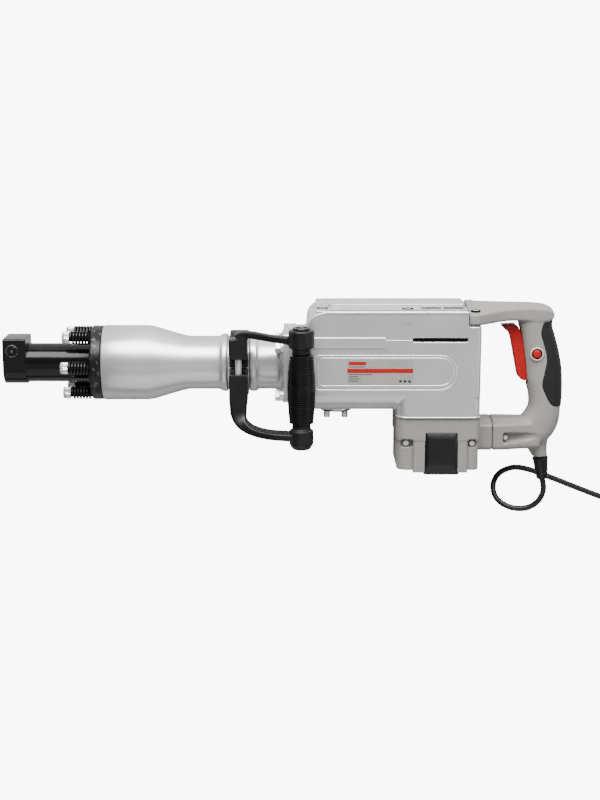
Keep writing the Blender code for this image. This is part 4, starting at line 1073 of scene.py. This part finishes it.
def handle_shell():
    """Both halves of the handle: moulded as one, then parted along the mid-plane."""
    cuts = bmesh.new()
    for side in (1, -1):
        recess = []
        for s, low, high, depth in ((0.6262, -0.0985, -0.0855, 0.009),
                                    (0.64, -0.098, -0.0858, 0.0082),
                                    (0.656, -0.0965, -0.0868, 0.0052),
                                    (0.674, -0.0935, -0.0895, 0.0004)):
            reach = 0.03 - 0.0095 * (s - 0.6262) / 0.0478 - depth
            recess.append([at(s, low, side * reach), at(s, high, side * reach),
                           at(s, high + 0.0006, side * 0.04), at(s, low - 0.0006, side * 0.04)])
        loft(cuts, recess)
    slot = bmesh.new()
    block(slot, (0.63, -0.025, -0.0092), (0.663, 0.0535, 0.0092))
    whole = cast("handle_whole", handle_shape(), "grey_plastic", "housing", 0.00115, 4,
                 ((cuts, "DIFFERENCE"), (slot, "DIFFERENCE")))
    for name, side in (("left", 1), ("right", -1)):
        bm = bmesh.new()
        bm.from_mesh(whole.data)
        plane = at(0, 0, side * GAP / 2)
        cut = bmesh.ops.bisect_plane(bm, geom=bm.verts[:] + bm.edges[:] + bm.faces[:],
                                     plane_co=plane, plane_no=(0, 0, -side), clear_outer=True)
        rim = [e for e in cut["geom_cut"] if isinstance(e, bmesh.types.BMEdge)]
        bmesh.ops.holes_fill(bm, edges=rim)
        fixed("handle_shell_" + name, bm, "grey_plastic", 50, ("handle_" + name,))
    bpy.data.objects.remove(whole, do_unlink=True)
    for number, side in enumerate((1, -1), 1):
        axis = "Z" if side > 0 else "-Z"
        head = lathe(bmesh.new(), at(0.6295, -0.0918, side * 0.0222), axis,
                     [(0.0, 0.003), (0.0026, 0.003), (0.0034, 0.0022), (0.0035, 0.0003)], 24)
        fixed("handle_screw_%d" % number, head, "bright_steel", 40)
        # Thin near-black block at the back of the screw recess: painted shade
        dark = bmesh.new()
        side_block(dark, side, 0.6262, 0.6266, (-0.0982, -0.0856), (0.0205, 0.0285))
        fixed("handle_recess_%d" % number, dark, "black_joints_and_painted_shade")
        countersunk("root_screw_%d" % number, at(0.5865, 0.0722, side * 0.042), "Y", 0.0056)


def rubber_pad():
    """Soft pad over the back of the grip, standing a little proud of it."""
    trim = prism(bmesh.new(), rounded(PAD_OUTLINE, 8), -0.03, 0.03, "Z")
    cast("pad_skin", grip_loft(0.0009), "rubber", "housing", 0.001, 2,
         ((trim, "INTERSECT"),), ("grip_pad",))


def trigger_lever():
    """Curved red lever, softened all round."""
    outline = [(0.6224, 0.0488), (0.6393, 0.05), (0.6434, 0.047), (0.6476, 0.0407),
               (0.652, 0.03), (0.6585, 0.015), (0.66, -0.005), (0.659, -0.0195),
               (0.654, -0.0225), (0.6493, -0.0207), (0.6448, -0.0162), (0.6388, 0.0141),
               (0.6348, 0.0336), (0.6317, 0.0399), (0.6252, 0.045)]
    bm = prism(bmesh.new(), outline, -0.0087, 0.0087, "Z")
    cast("trigger_lever", bm, "red_plastic", "switch_trigger", 0.0007, 4, (), ("trigger",))


def lock():
    """Round button in its collar, with a near-black ring between them: painted shade in the gap.
    """
    place = at(*BUTTON)
    cap = lathe(bmesh.new(), place, "Z",
                [(0.0125, 0.0035), (0.0145, 0.0052), (0.0212, 0.0052), (0.0222, 0.0047),
                 (0.0226, 0.0036), (0.0227, 0.0004)], 48)
    piece("button_cap", cap, "red_plastic", "switch_lock", 60, ("lock_button",))
    collar = lathe(bmesh.new(), place, "Z",
                   [(0.019, 0.0067), (0.019, 0.0086), (0.0208, 0.0085), (0.0216, 0.0079),
                    (0.0216, 0.0071), (0.0206, 0.0067)], 48, True)
    fixed("button_collar", collar, "pale_plastic", 40, ("button_bezel",))
    # Near-black ring between button and collar: painted shade in the gap
    ring = lathe(bmesh.new(), place, "Z",
                 [(0.019, 0.0054), (0.019, 0.0066), (0.0203, 0.0066), (0.0203, 0.0054)], 48, True)
    fixed("button_shade_ring", ring, "black_joints_and_painted_shade")


# Side handle

def clamp_arm(bm, stations):
    """Bar of rounded rectangular section through (s, y, z, thickness, width) stations."""
    path = smooth_path([Vector(station[:3]) for station in stations], 4)
    sizes = smooth_path([Vector((*station[3:], 0)) for station in stations], 4)
    sections = []
    last = len(path) - 1
    for index, (place, size) in enumerate(zip(path, sizes)):
        ahead = path[min(index + 1, last)]
        behind = path[max(index - 1, 0)]
        along = Vector((ahead.x - behind.x, ahead.y - behind.y)).normalized()
        across = Vector((-along.y, along.x))
        outline = rectangle(-size.x / 2, -size.y / 2, size.x / 2, size.y / 2,
                            min(size.x, size.y) * 0.22, 3)
        sections.append([at(place.x + across.x * u, place.y + across.y * u, place.z + v)
                         for u, v in outline])
    return loft(bm, sections)


def clamp(name, upper):
    sign = 1 if upper else -1
    bm = bmesh.new()
    arc = [radians(1.2 + 177.6 * i / 40) for i in range(41)]
    band = [(sign * 0.041 * sin(a), 0.041 * cos(a)) for a in arc]
    band += [(sign * 0.0342 * sin(a), 0.0342 * cos(a)) for a in reversed(arc)]
    prism(bm, band, 0.2835, 0.3067, "X")
    low, high = (0.0137, 0.039) if upper else (-0.04, -0.0053)
    block(bm, (0.2835, low, 0.036), (0.3067, high, 0.06))
    if upper:
        stations = [(0.293, 0.04, 0.05, 0.01, 0.018), (0.30, 0.044, 0.053, 0.009, 0.015),
                    (0.312, 0.0448, 0.058, 0.0085, 0.014), (0.338, 0.0425, 0.071, 0.0085, 0.014),
                    (0.37, 0.0405, 0.0815, 0.01, 0.016)]
        boss = [(0.0249, 0.0118), (0.0328, 0.0118), (0.033, 0.015), (0.034, 0.0157),
                (0.0532, 0.0157), (0.0548, 0.0145)]
    else:
        stations = [(0.2951, -0.035, 0.048, 0.0225, 0.024),
                    (0.2951, -0.053, 0.05, 0.0205, 0.024), (0.2985, -0.064, 0.055, 0.015, 0.025),
                    (0.308, -0.0712, 0.062, 0.0105, 0.026),
                    (0.322, -0.0752, 0.069, 0.009, 0.026), (0.34, -0.0767, 0.076, 0.0088, 0.026),
                    (0.37, -0.0772, 0.082, 0.0088, 0.026)]
        boss = [(-0.0927, 0.01), (-0.0915, 0.0116), (-0.0862, 0.0147), (-0.085, 0.0149),
                (-0.0692, 0.0149), (-0.0684, 0.0142), (-0.0682, 0.0113), (-0.0604, 0.0113)]
    clamp_arm(bm, stations)
    lathe(bm, at(SIDE_S, 0, SIDE_Z), "Y", boss, 48)
    seat = bmesh.new()
    lathe(seat, at(0), "X", [(0.27, 0.0341), (0.32, 0.0341)], 64)
    cast(name + "_casting", bm, "black_satin", "side_handle", 0.001, 3,
         ((seat, "DIFFERENCE"),), (name,))


def side_grip():
    """Ribbed rubber grip, its steel rod and the cap on top."""
    low, high = -0.06, 0.0245
    ribs = 33
    pitch = (high - low) / ribs
    profile = [(low, 0.006)]
    for rib in range(ribs):
        start = low + pitch * rib
        swell = sin(pi * (rib + 0.5) / ribs)
        radius = 0.0147 + 0.0026 * swell
        profile += [(start + pitch * share, radius - drop)
                    for share, drop in ((0.04, 0.0012), (0.16, 0.0001), (0.46, 0.0),
                                        (0.76, 0.0001), (0.92, 0.0012))]
    profile += [(high, 0.006)]
    place = at(SIDE_S, 0, SIDE_Z)
    piece("grip_sleeve", lathe(bmesh.new(), place, "Y", profile, 56), "grip_rubber",
          "side_handle", 60, ("side_grip",))
    cap = lathe(bmesh.new(), place, "Y",
                [(0.0545, 0.0104), (0.0567, 0.0106), (0.0577, 0.0098), (0.0577, 0.0074),
                 (0.0566, 0.0066), (0.0566, 0.0004)], 48)
    piece("grip_cap", cap, "black_plastic", "side_handle", 30, ("grip_bolt",))
    bar = lathe(bmesh.new(), at(0.2952, 0, 0.052), "Y",
                [(-0.0295, 0.0036), (-0.029, 0.004), (0.033, 0.004), (0.0335, 0.0036)], 32)
    piece("clamp_bar", bar, "bright_steel", "side_handle", 40, ("clamp_rod",))


camera()
stage()
cord()
paint_frame()
tool_holder()
pin_ends()
knurled_screws()
coil_springs()
barrel_body()
case_casting()
case_beads()
top_lid()
label()
grease_cap()
motor_bell()
brush_lids()
handle_shell()
rubber_pad()
trigger_lever()
lock()
clamp("clamp_upper", True)
clamp("clamp_lower", False)
side_grip()
